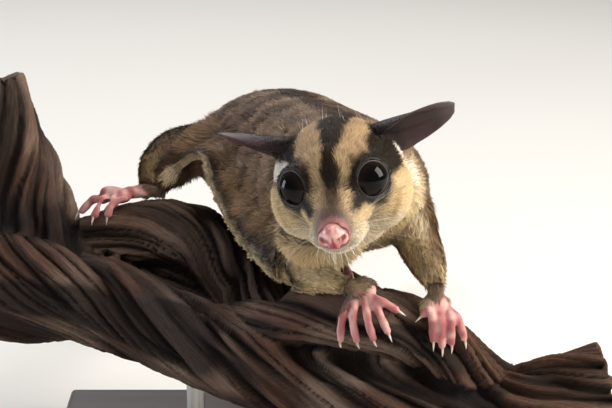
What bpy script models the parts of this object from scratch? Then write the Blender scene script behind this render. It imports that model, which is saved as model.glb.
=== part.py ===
"""A life-size sugar glider, clinging to a short length of twisted vine on a small display stand.

The frame is Z up with the origin at the centre of the stand's underside. The animal faces -Y,
its own left is +X, and its body runs back and a little towards -X from the head.
"""

import math
import random

import bmesh
import bpy
from mathutils import Matrix, Vector
from mathutils.bvhtree import BVHTree

MM = 0.001
GAP = 0.3 * MM

# Driving dimensions: the animal

HEAD_CENTRE = Vector((16.0, -52.0, 101.0)) * MM
HEAD_YAW = math.radians(-6.5)
HEAD_PITCH = math.radians(10.0)
HEAD_ROLL = math.radians(-8.5)
EYE_RADIUS = 5.0 * MM
EYE_PLACE = Vector((8.6, -8.6, 3.2)) * MM
EYE_OUTWARD = math.radians(38.0)
EYE_UPWARD = math.radians(12.0)
LID_RADIUS = 1.0 * MM
LID_RING_RADIUS = 0.95 * EYE_RADIUS
LID_FORWARD = 1.6 * MM
ORBIT_RADIUS = 6.3 * MM
ORBIT_DEPTH = 2.8 * MM
EAR_WIDTH = 12.0 * MM
EAR_SHEET = 1.0 * MM
EAR_SUNK = -0.15
EAR_WIDEST = 0.42
EAR_REACH = 0.6
EAR_ROLL_ROOT = math.radians(220.0)
EAR_ROLL_TIP = math.radians(40.0)
MOUTH_BACK = -13.0 * MM
MOUTH_HEIGHT = -8.4 * MM
MOUTH_SMILE = 1.2 * MM
MOUTH_HALF_ANGLE = math.radians(98.0)
MOUTH_GROOVE = 0.6 * MM
MEMBRANE_SHEET = 3.0 * MM
RIPPLES = 5.4
RIPPLE_SHARE = 0.5
TAIL_CORE_SHARE = 0.62
TAIL_ROOT_SHARE = 0.38
FULL_FUR_RADIUS = 12.0 * MM
TAIL_STEPS = 12
TAIL_STEP = 2.0 * MM
TAIL_LOCK_RINGS = 9
TAIL_LOCKS_ROUND = 6
TAIL_LOCK_LENGTH = 27.0 * MM
TAIL_LOCK_WIDTH = 10.2 * MM
TAIL_LOCK_THICKNESS = 2.4 * MM
DIGIT_TAPER = (1.1, 1.05, 0.95, 0.95, 0.85)
DIGIT_ARCH = (0.5 * MM, 1.2 * MM, 1.4 * MM, 0.7 * MM, 0.0)
PAD_SWELL = 1.12
PALM_BEHIND = 0.6
CLAW_RADIUS = 0.6 * MM
CLAW_LENGTH = 3.6 * MM
CLAW_ARCH = 1.2 * MM
CLAW_HOOK = 2.6 * MM

# Each row of a body form is its centre x, y, z with its half width and half height, in mm

TRUNK = (
    (17.0, -40.0, 99.0, 11.0, 11.0),
    (19.0, -32.0, 96.8, 15.6, 14.6),
    (20.8, -20.0, 92.0, 20.6, 17.8),
    (17.6, -6.0, 89.8, 22.6, 19.6),
    (10.4, 12.0, 88.7, 22.8, 20.4),
    (3.0, 30.0, 88.2, 22.4, 20.6),
    (-4.6, 45.0, 86.0, 21.2, 18.4),
    (-10.0, 58.0, 82.0, 14.0, 12.0),
    (-13.5, 67.0, 80.0, 8.0, 7.5),
    (-14.5, 72.0, 79.0, 5.0, 5.0),
)
NECK = (
    (16.5, -46.0, 101.0, 12.5, 11.5),
    (17.0, -38.0, 97.5, 14.5, 14.0),
    (18.0, -30.0, 94.0, 16.0, 15.5),
    (19.0, -24.0, 92.0, 14.0, 14.0),
)
CHEST_PLACE = (12.0, -36.0, 82.5)
CHEST_RADII = (12.0, 9.5, 8.5)
ARM_RIGHT = (
    (12.0, -18.0, 88.0, 10.0, 10.0),
    (7.0, -24.0, 80.0, 8.0, 8.0),
    (4.5, -27.0, 73.0, 6.2, 6.2),
    (8.0, -34.0, 71.0, 5.4, 5.4),
    (13.5, -40.5, 71.8, 4.3, 4.3),
    (17.5, -45.5, 72.0, 3.4, 3.4),
)
ARM_LEFT = (
    (30.0, -17.0, 90.0, 10.0, 10.0),
    (35.0, -23.0, 84.0, 8.0, 8.0),
    (38.0, -29.0, 77.5, 6.2, 6.2),
    (39.5, -36.0, 75.0, 5.3, 5.3),
    (40.0, -42.0, 74.0, 4.2, 4.2),
    (40.5, -46.5, 73.0, 3.4, 3.4),
)
LEG_RIGHT = (
    (-6.0, 42.0, 86.0, 13.0, 13.0),
    (-15.0, 42.0, 87.5, 10.5, 10.5),
    (-24.0, 41.0, 88.5, 8.2, 8.2),
    (-31.0, 38.0, 88.5, 6.6, 6.6),
    (-35.0, 32.0, 86.5, 5.6, 5.6),
    (-36.5, 27.0, 84.0, 4.5, 4.5),
    (-37.0, 23.0, 81.5, 3.6, 3.6),
)
LEG_LEFT = (
    (5.0, 47.0, 86.0, 13.5, 13.5),
    (13.0, 45.0, 84.0, 11.5, 11.5),
    (21.0, 39.0, 80.5, 9.0, 9.0),
    (24.0, 31.0, 77.0, 7.0, 7.0),
    (21.5, 23.0, 73.5, 5.6, 5.6),
    (16.5, 17.0, 70.5, 4.4, 4.4),
    (14.0, 13.5, 69.0, 3.6, 3.6),
)
TAIL_END = (48.0, 250.0, 50.0, 4.0, 4.0)
TAIL_STUB = (
    (-12.5, 62.0, 81.0, 8.0, 8.0),
    (-14.0, 70.0, 79.3, 7.4, 7.2),
    (-14.8, 80.0, 76.5, 7.4, 7.2),
)
FOLD_RIGHT = (
    (-12.0, 34.0, 97.0, 6.0, 6.0),
    (-18.0, 31.0, 94.5, 6.0, 6.0),
    (-25.0, 27.0, 89.5, 5.6, 5.6),
    (-31.0, 24.0, 85.0, 5.0, 5.0),
    (-35.0, 22.5, 82.0, 3.6, 3.6),
)
TAIL = (
    (-13.0, 64.0, 80.5, 7.5, 7.5),
    (-14.5, 74.0, 78.5, 7.5, 7.0),
    (-15.0, 90.0, 72.0, 9.5, 9.0),
    (-12.0, 112.0, 60.0, 11.5, 10.8),
    (-5.0, 134.0, 49.0, 12.5, 11.6),
    (6.0, 157.0, 41.0, 12.5, 11.6),
    (17.0, 179.0, 37.5, 12.0, 11.0),
    (27.0, 200.0, 38.0, 10.5, 9.5),
    (34.0, 216.0, 40.5, 7.5, 6.8),
    (39.5, 229.0, 43.5, 2.0, 2.0),
)

# The head's masses in its own frame, in mm: x to its left, y to its back and z up

MUZZLE = (
    (0.0, -2.0, -0.6, 12.0, 10.0),
    (0.0, -10.0, -2.0, 9.4, 8.0),
    (0.0, -16.0, -3.2, 7.0, 6.2),
    (0.0, -21.0, -4.4, 5.2, 4.8),
    (0.0, -24.4, -4.9, 3.6, 3.6),
)
HEAD_MASSES = (
    ("skull", (0.0, 4.0, 2.5), (14.0, 18.0, 11.5)),
    ("brow", (0.0, -5.0, 3.0), (11.5, 9.5, 9.2)),
    ("jaw", (0.0, -9.0, -8.8), (7.0, 13.5, 4.2)),
    ("throat", (0.0, 2.0, -10.5), (12.0, 11.0, 8.0)),
)
HEAD_SIDE_MASSES = (
    ("cheek", (9.0, 2.5, -4.8), (8.8, 12.5, 9.6)),
    ("temple", (8.6, 4.0, 0.8), (7.6, 12.5, 8.0)),
    ("lip", (3.6, -17.0, -6.4), (3.6, 6.2, 3.4)),
    ("ear root", (10.6, 7.6, 5.8), (3.9, 5.0, 4.4)),
)
NOSE_PLACE = Vector((0.0, -25.3, -3.7)) * MM
NOSE_LOBES = (
    ((0.0, -25.3, -3.1), (2.6, 2.4, 2.6)),
    ((2.1, -24.7, -4.2), (1.6, 2.0, 1.9)),
    ((-2.1, -24.7, -4.2), (1.6, 2.0, 1.9)),
    ((0.0, -25.1, -5.7), (1.6, 1.9, 1.4)),
)
NOSTRIL_PLACE = Vector((2.1, -27.0, -4.1)) * MM
NOSTRIL_RADII = Vector((0.6, 1.3, 0.8)) * MM

# Each ear by side: its name, root, tip and the way its hollow faces, in the head's frame in mm

EARS = {
    1: ("ear_left", (10.8, 7.5, 8.2), (30.5, 16.0, 9.6), (0.1, -0.85, -0.5)),
    -1: ("ear_right", (-10.8, 7.5, 7.6), (-30.5, 16.5, 9.6), (-0.1, -0.65, -0.75)),
}

# A tail lock's sections: share of its length, of its width and of its thickness

LOCK_SECTIONS = ((0.0, 0.65, 1.0), (0.45, 1.0, 1.0), (0.8, 0.7, 0.6), (1.0, 0.12, 0.25))

# Where upright cuts part the head from the neck and the neck from the trunk

NECK_FRONT = Vector((16.8, -38.5, 83.6)) * MM
NECK_BACK = Vector((18.3, -26.5, 83.6)) * MM
NECK_TURN = math.radians(-6.0)

# Each hand and foot: the rows of its wrist or sole with their radii, its palm's half sizes across,
# thick and along, the middle of its knuckles, and each digit's start along them, lean, share of the
# forward way and length, all in mm

HAND_RIGHT = {
    "name": "hand_right",
    "wrist": ((15.6, -43.8, 72.4, 2.4, 2.3), (17.8, -45.8, 71.6, 2.5, 2.3)),
    "palm": (4.2, 1.9, 3.6),
    "knuckles": (21.4, -49.1, 69.4),
    "forward": (0.02, -0.45, -0.9),
    "across": (1.0, -0.05, 0.03),
    "radius": 1.25,
    "digits": (
        (-3.2, -0.16, 1.0, 10.5),
        (-1.1, -0.02, 1.0, 11.5),
        (1.1, 0.14, 1.0, 11.0),
        (3.2, 0.34, 1.0, 9.0),
        (4.0, 0.95, 0.8, 6.5),
    ),
}
HAND_LEFT = {
    "name": "hand_left",
    "wrist": ((40.0, -45.0, 74.0, 2.5, 2.4), (41.2, -47.0, 72.2, 2.6, 2.3)),
    "palm": (4.2, 1.9, 3.6),
    "knuckles": (43.2, -49.3, 68.6),
    "forward": (0.3, -0.45, -0.85),
    "across": (0.95, 0.1, -0.3),
    "radius": 1.25,
    "digits": (
        (-3.9, -0.9, 0.8, 6.5),
        (-3.1, -0.3, 1.0, 9.5),
        (-1.05, -0.1, 1.0, 10.5),
        (1.1, 0.06, 1.0, 11.0),
        (3.1, 0.22, 1.0, 10.0),
    ),
}
FOOT_RIGHT = {
    "name": "foot_right",
    "wrist": (
        (-30.5, 22.8, 81.8, 2.5, 2.4),
        (-33.5, 22.0, 81.2, 2.7, 2.4),
        (-39.0, 20.2, 80.6, 3.2, 2.4),
    ),
    "palm": (5.4, 2.3, 3.0),
    "knuckles": (-46.5, 16.6, 79.0),
    "forward": (-0.34, -0.62, -0.72),
    "across": (-1.0, 0.12, -0.12),
    "radius": 1.4,
    "digits": (
        (-3.6, -0.15, 1.0, 7.5),
        (-1.25, -0.03, 1.0, 8.5),
        (1.15, 0.05, 1.0, 9.0),
        (3.5, 0.15, 1.0, 8.5),
        (-3.0, -0.2, -1.0, 9.0),
    ),
}
FOOT_LEFT = {
    "name": "foot_left",
    "wrist": (
        (15.0, 16.5, 69.4, 2.5, 2.4),
        (14.3, 14.0, 68.6, 2.7, 2.4),
        (13.4, 10.0, 67.2, 3.1, 2.3),
    ),
    "palm": (4.4, 2.0, 4.2),
    "knuckles": (12.0, 3.5, 64.8),
    "forward": (-0.2, -0.9, -0.3),
    "across": (0.95, -0.3, 0.0),
    "radius": 1.35,
    "digits": (
        (-3.5, -0.25, 1.0, 8.5),
        (-1.2, -0.08, 1.0, 10.5),
        (1.2, 0.06, 1.0, 11.0),
        (3.5, 0.2, 1.0, 10.0),
        (4.0, 1.0, 0.8, 7.5),
    ),
}

# The membrane edges, from wrist to ankle, and the lines on the flanks that they hang from, in mm

MEMBRANE_RIGHT_EDGE = (
    (16.0, -45.0, 69.8),
    (9.5, -38.0, 67.5),
    (1.0, -27.0, 67.5),
    (-7.0, -14.0, 71.0),
    (-14.0, -2.0, 77.5),
    (-19.0, 8.0, 85.0),
    (-21.5, 15.0, 91.0),
    (-25.0, 18.5, 90.5),
    (-31.0, 20.5, 85.0),
)
MEMBRANE_RIGHT_ROOT = (
    (14.0, -40.0, 73.0),
    (7.0, -30.0, 76.0),
    (6.0, -16.0, 84.0),
    (2.0, -4.0, 90.0),
    (-4.0, 8.0, 95.0),
    (-8.0, 20.0, 98.0),
    (-12.0, 29.0, 98.0),
    (-20.0, 29.0, 93.0),
    (-30.0, 25.0, 86.0),
)
MEMBRANE_LEFT_EDGE = (
    (41.5, -44.0, 71.5),
    (43.5, -37.0, 71.0),
    (44.5, -26.0, 72.0),
    (44.0, -12.0, 73.5),
    (41.5, 2.0, 74.5),
    (36.5, 14.0, 75.0),
    (29.0, 22.0, 74.0),
    (23.0, 19.0, 71.0),
)
MEMBRANE_LEFT_ROOT = (
    (40.0, -41.0, 74.0),
    (38.0, -30.0, 78.0),
    (34.0, -18.0, 84.0),
    (34.0, -4.0, 86.0),
    (28.0, 10.0, 87.0),
    (23.0, 24.0, 86.0),
    (22.0, 30.0, 80.0),
    (22.0, 21.0, 74.0),
)

# The vine's strands: centre line x, y, z and radius, in mm

VINE_FRONT = (
    (-90.0, 12.0, 60.6, 14.2),
    (-74.0, 7.0, 56.4, 15.3),
    (-49.0, -2.0, 55.0, 12.5),
    (-22.0, -17.0, 47.5, 11.5),
    (6.0, -33.0, 41.5, 11.5),
    (32.0, -43.0, 38.5, 12.0),
    (56.0, -46.0, 36.0, 12.5),
    (74.0, -45.5, 40.5, 12.5),
    (87.0, -44.0, 44.0, 12.5),
)
VINE_STEM = (
    (-86.5, 36.0, 108.0, 13.6),
    (-81.0, 32.0, 94.0, 14.0),
    (-75.5, 27.0, 80.0, 14.0),
    (-69.0, 20.0, 67.0, 12.8),
    (-59.0, 12.0, 56.0, 11.5),
    (-46.0, 6.0, 50.0, 9.0),
)
VINE_HUMP = (
    (-68.0, 15.0, 54.0, 10.0),
    (-57.0, 18.0, 61.5, 10.0),
    (-45.0, 19.0, 66.5, 10.5),
    (-32.0, 18.5, 68.5, 10.5),
    (-19.0, 15.0, 65.0, 10.0),
    (-9.0, 8.0, 55.0, 9.5),
    (1.0, -6.0, 46.0, 8.5),
    (16.0, -24.0, 41.0, 8.0),
)
VINE_ARCH = (
    (-24.0, -6.0, 45.0, 8.0),
    (-6.0, -20.0, 51.0, 9.0),
    (10.0, -33.0, 58.5, 9.0),
    (25.0, -41.0, 61.5, 9.0),
    (39.0, -43.0, 57.5, 8.8),
    (50.0, -44.0, 48.0, 8.8),
    (59.0, -44.0, 40.0, 9.0),
)
VINE_BACK = (
    (-46.0, 18.0, 57.0, 7.5),
    (-26.0, 20.0, 54.0, 8.0),
    (-4.0, 15.0, 53.5, 8.0),
    (13.0, 6.0, 55.0, 8.5),
    (29.0, -8.0, 49.5, 8.0),
    (43.0, -25.0, 42.5, 8.0),
    (57.0, -38.0, 39.0, 8.0),
)
VINE_RIDGES = 5
VINE_RIDGE_DEPTH = 0.09
VINE_TWIST_PER_MM = math.radians(2.2)

# The display stand

BASE_LENGTH = 130.0 * MM
BASE_WIDTH = 120.0 * MM
BASE_THICKNESS = 8.0 * MM
BASE_BEVEL = 1.5 * MM
ROD_RADIUS = 2.5 * MM
ROD_TOP = 60.0 * MM
ROD_PLACES = ((-22.3, -14.0), (44.0, -44.0))

# Which finish a node takes, by how its name starts

FINISH_STARTS = (
    ("perch", "vine"),
    ("stand_base", "stand"),
    ("stand_rod", "rod"),
    ("head", "face fur"),
    ("nose", "skin"),
    ("hand", "skin"),
    ("foot", "skin"),
    ("eye", "eye"),
    ("ear", "ear"),
    ("tail", "tail fur"),
    ("membrane", "membrane"),
    ("arm", "limb fur"),
    ("leg", "limb fur"),
)

# How finely the soft forms are fused, and how many triangles each keeps

BODY_VOXEL = 0.9 * MM
HEAD_VOXEL = 0.55 * MM
HAND_VOXEL = 0.4 * MM
NOSE_VOXEL = 0.3 * MM
VINE_VOXEL = 1.1 * MM
BODY_TRIANGLES = 2250
HEAD_TRIANGLES = 1500
HAND_TRIANGLES = 540
NOSE_TRIANGLES = 260
VINE_TRIANGLES = 1400


def clear_scene():
    for item in list(bpy.data.objects):
        bpy.data.objects.remove(item, do_unlink=True)


def new_collection(name, hidden=False):
    made = bpy.data.collections.new(name)
    bpy.context.scene.collection.children.link(made)
    made.hide_render = hidden
    return made


def material(name, colour, roughness):
    made = bpy.data.materials.new(name)
    made.use_nodes = True
    shader = made.node_tree.nodes["Principled BSDF"]
    shader.inputs["Base Color"].default_value = (*colour, 1.0)
    shader.inputs["Roughness"].default_value = roughness
    shader.inputs["Metallic"].default_value = 0.0
    made.diffuse_color = (*colour, 1.0)
    return made


def object_from(bm, name):
    bmesh.ops.recalc_face_normals(bm, faces=bm.faces)
    mesh = bpy.data.meshes.new(name)
    bm.to_mesh(mesh)
    bm.free()
    made = bpy.data.objects.new(name, mesh)
    bpy.context.scene.collection.objects.link(made)
    return made


def copy_of(source, name):
    made = bpy.data.objects.new(name, source.data.copy())
    bpy.context.scene.collection.objects.link(made)
    return made


def remove(item):
    bpy.data.objects.remove(item, do_unlink=True)


def curve_through(rows, steps):
    """Catmull-Rom points through rows of numbers, with this many steps between two rows."""
    rows = [tuple(row) for row in rows]
    padded = [rows[0]] + rows + [rows[-1]]
    found = []
    for index in range(1, len(padded) - 2):
        before, start, end, after = padded[index - 1 : index + 3]
        for step in range(steps):
            t = step / steps
            found.append(
                tuple(
                    0.5
                    * (
                        2 * b
                        + (c - a) * t
                        + (2 * a - 5 * b + 4 * c - d) * t * t
                        + (3 * b - a - 3 * c + d) * t**3
                    )
                    for a, b, c, d in zip(before, start, end, after)
                )
            )
    found.append(rows[-1])
    return found


def frames_along(points):
    """A side and an up direction at each point of a path, kept as upright as the path allows."""
    found = []
    up = Vector((0.0, 0.0, 1.0))
    for index, point in enumerate(points):
        ahead = points[min(index + 1, len(points) - 1)]
        behind = points[max(index - 1, 0)]
        along = (ahead - behind).normalized()
        side = along.cross(up)
        if side.length < 0.05:
            side = found[-1][0] if found else Vector((1.0, 0.0, 0.0))
        side.normalize()
        up = side.cross(along).normalized()
        found.append((side, up))
    return found


def loft(name, rows, sides=20, steps=4, ridges=0, twist=0.0):
    """A closed tube with oval sections through rows of x, y, z, half width, half height in mm."""
    dense = curve_through(rows, steps)
    points = [Vector(row[:3]) * MM for row in dense]
    frames = frames_along(points)
    bm = bmesh.new()
    rings = []
    length = 0.0
    for index, row in enumerate(dense):
        if index:
            length += (points[index] - points[index - 1]).length / MM
        side, up = frames[index]
        ring = []
        for corner in range(sides):
            angle = 2 * math.pi * corner / sides
            swell = 1 + VINE_RIDGE_DEPTH * math.sin(ridges * angle + twist * length) if ridges else 1
            offset = side * math.cos(angle) * row[3] + up * math.sin(angle) * row[-1]
            ring.append(bm.verts.new(points[index] + offset * swell * MM))
        rings.append(ring)
    for first, second in zip(rings, rings[1:]):
        for corner in range(sides):
            after = (corner + 1) % sides
            bm.faces.new((first[corner], first[after], second[after], second[corner]))
    bm.faces.new(rings[0])
    bm.faces.new(rings[-1])
    bmesh.ops.triangulate(bm, faces=[f for f in bm.faces if len(f.verts) > 4])
    return object_from(bm, name)


def ball(name, centre, radii, frame=None, segments=24):
    """An ellipsoid at a place in a frame, such as the head's."""
    bm = bmesh.new()
    bmesh.ops.create_uvsphere(bm, u_segments=segments, v_segments=segments // 2, radius=1.0)
    place = Matrix.Translation(Vector(centre)) @ Matrix.Diagonal((*radii, 1.0))
    bm.transform((frame or Matrix.Identity(4)) @ place)
    return object_from(bm, name)


def block(name, place, size):
    """A box of this size, whose place is a matrix."""
    bm = bmesh.new()
    bmesh.ops.create_cube(bm, size=1.0)
    bm.transform(place @ Matrix.Diagonal((*size, 1.0)))
    return object_from(bm, name)


def applied(item):
    """Replaces an object's mesh with the one that its modifiers give."""
    graph = bpy.context.evaluated_depsgraph_get()
    mesh = bpy.data.meshes.new_from_object(item.evaluated_get(graph))
    item.modifiers.clear()
    item.data = mesh
    return item


def joined(pieces, name):
    bm = bmesh.new()
    for piece in pieces:
        bm.from_mesh(piece.data)
        remove(piece)
    mesh = bpy.data.meshes.new(name)
    bm.to_mesh(mesh)
    bm.free()
    made = bpy.data.objects.new(name, mesh)
    bpy.context.scene.collection.objects.link(made)
    return made


def thinned(item, triangles):
    thin = item.modifiers.new("Thin", "DECIMATE")
    thin.ratio = min(1.0, triangles / (2 * len(item.data.polygons)))
    thin.use_collapse_triangulate = True
    return keep_largest(applied(item))


def fused(pieces, name, voxel, smoothing=6):
    """One smooth closed body of quads from overlapping pieces."""
    made = joined(pieces, name)
    remesh = made.modifiers.new("Fuse", "REMESH")
    remesh.mode = "VOXEL"
    remesh.voxel_size = voxel
    smooth = made.modifiers.new("Soften", "SMOOTH")
    smooth.factor = 0.5
    smooth.iterations = smoothing
    return keep_largest(applied(made))


def keep_largest(item):
    """Keeps only the largest closed surface of a mesh."""
    bm = bmesh.new()
    bm.from_mesh(item.data)
    unseen = set(bm.verts)
    groups = []
    while unseen:
        stack = [unseen.pop()]
        group = set(stack)
        while stack:
            for edge in stack.pop().link_edges:
                for vertex in edge.verts:
                    if vertex in unseen:
                        unseen.discard(vertex)
                        group.add(vertex)
                        stack.append(vertex)
        groups.append(group)
    largest = max(groups, key=lambda group: spread(group))
    loose = [vertex for group in groups if group is not largest for vertex in group]
    bmesh.ops.delete(bm, geom=loose, context="VERTS")
    bm.to_mesh(item.data)
    bm.free()
    return item


def spread(vertices):
    lows = [min(v.co[axis] for v in vertices) for axis in range(3)]
    highs = [max(v.co[axis] for v in vertices) for axis in range(3)]
    return math.prod(high - low for low, high in zip(lows, highs))


def grown(item, distance, name):
    """A copy whose surface is moved outwards, to cut a neighbour with a gap."""
    made = copy_of(item, name)
    push = made.modifiers.new("Grow", "DISPLACE")
    push.strength = distance
    push.mid_level = 0.0
    return applied(made)


def boolean(item, other, operation, solver="EXACT"):
    step = item.modifiers.new("Cut", "BOOLEAN")
    step.operation = operation
    step.solver = solver
    step.object = other
    applied(item)
    return keep_largest(item)


def cut_by(item, cutter, solver="EXACT"):
    return boolean(item, cutter, "DIFFERENCE", solver)


def sleeve(name, rows, extra, start=0.0):
    """A fat tube round part of a limb, whose flat first end is where the limb is cut."""
    fat = [(*row[:3], row[3] + extra, row[-1] + extra) for row in rows]
    if start:
        first, second = Vector(fat[0][:3]), Vector(fat[1][:3])
        moved = first + (first - second).normalized() * start
        fat[0] = (*moved, *fat[0][3:])
    return loft(name, fat, sides=16, steps=2)


def parted(body, rows, name, extra=2.5):
    """Takes the length inside a sleeve off a body, leaving a thin gap, and returns it."""
    gap = GAP / MM
    inner = sleeve("inner", rows, extra)
    outer = sleeve("outer", rows, extra + gap, start=gap)
    piece = copy_of(body, name)
    boolean(piece, inner, "INTERSECT", "MANIFOLD")
    cut_by(body, outer, "MANIFOLD")
    remove(inner)
    remove(outer)
    return piece


def head_frame():
    turn = (
        Matrix.Rotation(HEAD_YAW, 4, "Z")
        @ Matrix.Rotation(HEAD_ROLL, 4, "Y")
        @ Matrix.Rotation(HEAD_PITCH, 4, "X")
    )
    return Matrix.Translation(HEAD_CENTRE) @ turn


def moved_rows(rows, frame):
    """Rows given in mm in a frame of their own, as rows in the object's frame."""
    found = []
    for row in rows:
        place = frame @ (Vector(row[:3]) * MM)
        found.append((*(place / MM), row[3], row[-1]))
    return found


def mirrored(side, vector):
    return Vector((side * vector.x, vector.y, vector.z))


def eye_axis(side):
    """The direction that an eye looks in, in the head's frame."""
    flat = math.cos(EYE_UPWARD)
    return Vector(
        (
            side * flat * math.sin(EYE_OUTWARD),
            -flat * math.cos(EYE_OUTWARD),
            math.sin(EYE_UPWARD),
        )
    )


def ring(name, centre, axis, major, minor, frame):
    """A torus round an axis, made by turning a circle."""
    bm = bmesh.new()
    turn = axis.to_track_quat("Z", "Y").to_matrix().to_4x4()
    place = frame @ Matrix.Translation(centre) @ turn
    rounds, sides = 32, 10
    loops = []
    for step in range(rounds):
        angle = 2 * math.pi * step / rounds
        loop = []
        for corner in range(sides):
            turned = 2 * math.pi * corner / sides
            reach = major + minor * math.cos(turned)
            point = Vector((reach * math.cos(angle), reach * math.sin(angle), minor * math.sin(turned)))
            loop.append(bm.verts.new(place @ point))
        loops.append(loop)
    for step in range(rounds):
        first, second = loops[step], loops[(step + 1) % rounds]
        for corner in range(sides):
            after = (corner + 1) % sides
            bm.faces.new((first[corner], first[after], second[after], second[corner]))
    return object_from(bm, name)


def head_pieces(frame, fine):
    """The head's masses. The fine set adds the lids."""
    pieces = [loft("muzzle", moved_rows(MUZZLE, frame))]
    for name, place, radii in HEAD_MASSES:
        pieces.append(ball(name, Vector(place) * MM, Vector(radii) * MM, frame))
    for side in (-1, 1):
        for name, place, radii in HEAD_SIDE_MASSES:
            pieces.append(ball(name, mirrored(side, Vector(place)) * MM, Vector(radii) * MM, frame))
        orbit = mirrored(side, EYE_PLACE) - eye_axis(side) * ORBIT_DEPTH
        pieces.append(ball("orbit", orbit, [ORBIT_RADIUS] * 3, frame))
        if fine:
            centre = mirrored(side, EYE_PLACE) + eye_axis(side) * LID_FORWARD
            pieces.append(ring("lid", centre, eye_axis(side), LID_RING_RADIUS, LID_RADIUS, frame))
    return pieces


def mouth_line(frame, head):
    """A thin bent tube that follows the muzzle's surface, cut from it as the line between the lips."""
    tree = surface_of(head)
    rows = []
    half_steps = 6
    for step in range(-half_steps, half_steps + 1):
        share = step / half_steps
        angle = share * MOUTH_HALF_ANGLE
        middle = Vector((0.0, MOUTH_BACK, MOUTH_HEIGHT + MOUTH_SMILE * share * share))
        way = Vector((math.sin(angle), -math.cos(angle), 0.0))
        hit, _, _, _ = tree.ray_cast(frame @ (middle + way * 40 * MM), frame.to_3x3() @ -way)
        thin = MOUTH_GROOVE * (1.0 - 0.35 * share * share) / MM
        rows.append((*(hit / MM), thin, thin))
    return loft("mouth", rows, sides=5, steps=1)


def zone(name, corner, depth, reach, drop):
    """A box whose upright back face is at a corner point and which reaches forwards from it."""
    turn = Matrix.Rotation(NECK_TURN, 4, "Z")
    middle = Vector((0.0, -depth / 2, reach / 2 - drop))
    place = Matrix.Translation(corner) @ turn @ Matrix.Translation(middle)
    return block(name, place, (reach, depth, reach))


def make_head(frame, nose):
    head = fused(head_pieces(frame, True), "head", HEAD_VOXEL, smoothing=4)
    thinned(head, HEAD_TRIANGLES)
    for side in (-1, 1):
        socket = ball("socket", mirrored(side, EYE_PLACE), [EYE_RADIUS + GAP] * 3, frame, 16)
        cut_by(head, socket)
        remove(socket)
    nose_grown = grown(nose, GAP, "nose clearance")
    for cutter in (mouth_line(frame, head), nose_grown):
        cut_by(head, cutter)
        remove(cutter)
    front = zone("front", NECK_FRONT, 80 * MM, 90 * MM, 0.0)
    boolean(head, front, "INTERSECT")
    remove(front)
    return head


def part_neck(body):
    """Takes the head's coarse form off the body, then the neck behind it."""
    front = zone("front", NECK_FRONT + Vector((0, GAP, 0)), 80 * MM, 90 * MM, GAP)
    cut_by(body, front, "MANIFOLD")
    inner = zone("inner", NECK_BACK, 30 * MM, 90 * MM, 0.0)
    outer = zone("outer", NECK_BACK + Vector((0, GAP, 0)), 30 * MM, 90 * MM, GAP)
    neck = copy_of(body, "neck")
    boolean(neck, inner, "INTERSECT", "MANIFOLD")
    cut_by(body, outer, "MANIFOLD")
    for cutter in (front, inner, outer):
        remove(cutter)
    return neck


def make_nose(frame):
    """The pink pad with its two nostrils."""
    lobes = []
    for (place, radii) in NOSE_LOBES:
        lobes.append(ball("lobe", Vector(place) * MM, Vector(radii) * MM, frame, 16))
    pad = thinned(fused(lobes, "nose", NOSE_VOXEL, smoothing=3), NOSE_TRIANGLES)
    for side in (-1, 1):
        nostril = ball("nostril", mirrored(side, NOSTRIL_PLACE), NOSTRIL_RADII, frame, 8)
        cut_by(pad, nostril)
        remove(nostril)
    return pad


def make_ear(side, frame, head_grown):
    """A thin leaf, rolled into a funnel at its root and opening to a shallow cup, cut to the head."""
    name, root, tip, facing = EARS[side]
    root, tip, facing = Vector(root), Vector(tip), Vector(facing)
    along = (tip - root).normalized()
    across = along.cross(facing).normalized()
    out = across.cross(along).normalized()
    length = (tip - root).length
    bm = bmesh.new()
    rows, columns = 9, 6
    grid = []
    for row in range(rows + 1):
        t = EAR_SUNK + (1 - EAR_SUNK) * row / rows
        half = EAR_WIDTH / MM / 2 * math.sqrt(1 - ((t - EAR_WIDEST) / EAR_REACH) ** 2)
        roll = EAR_ROLL_ROOT + (EAR_ROLL_TIP - EAR_ROLL_ROOT) * max(t, 0.0) ** 0.7
        radius = half / math.sin(min(roll, math.pi) / 2)
        middle = radius * math.sin(roll / 2) / (roll / 2)
        line = []
        for column in range(columns + 1):
            turn = roll * (column / columns - 0.5)
            point = root + along * (length * t) + across * (radius * math.sin(turn))
            point += out * (middle - radius * math.cos(turn))
            line.append(bm.verts.new(frame @ (point * MM)))
        grid.append(line)
    for first, second in zip(grid, grid[1:]):
        for column in range(columns):
            bm.faces.new((first[column], first[column + 1], second[column + 1], second[column]))
    bmesh.ops.triangulate(bm, faces=bm.faces)
    ear = object_from(bm, name)
    sheet = ear.modifiers.new("Sheet", "SOLIDIFY")
    sheet.thickness = EAR_SHEET
    sheet.offset = 0.0
    applied(ear)
    return cut_by(ear, head_grown)


def surface_of(item):
    bm = bmesh.new()
    bm.from_mesh(item.data)
    tree = BVHTree.FromBMesh(bm)
    bm.free()
    return tree


def settled(point, tree, clearance):
    """The point pushed out of a surface, or drawn to it, so that it lies this far off it."""
    near, normal, _, _ = tree.find_nearest(point)
    return near + normal * clearance


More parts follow.
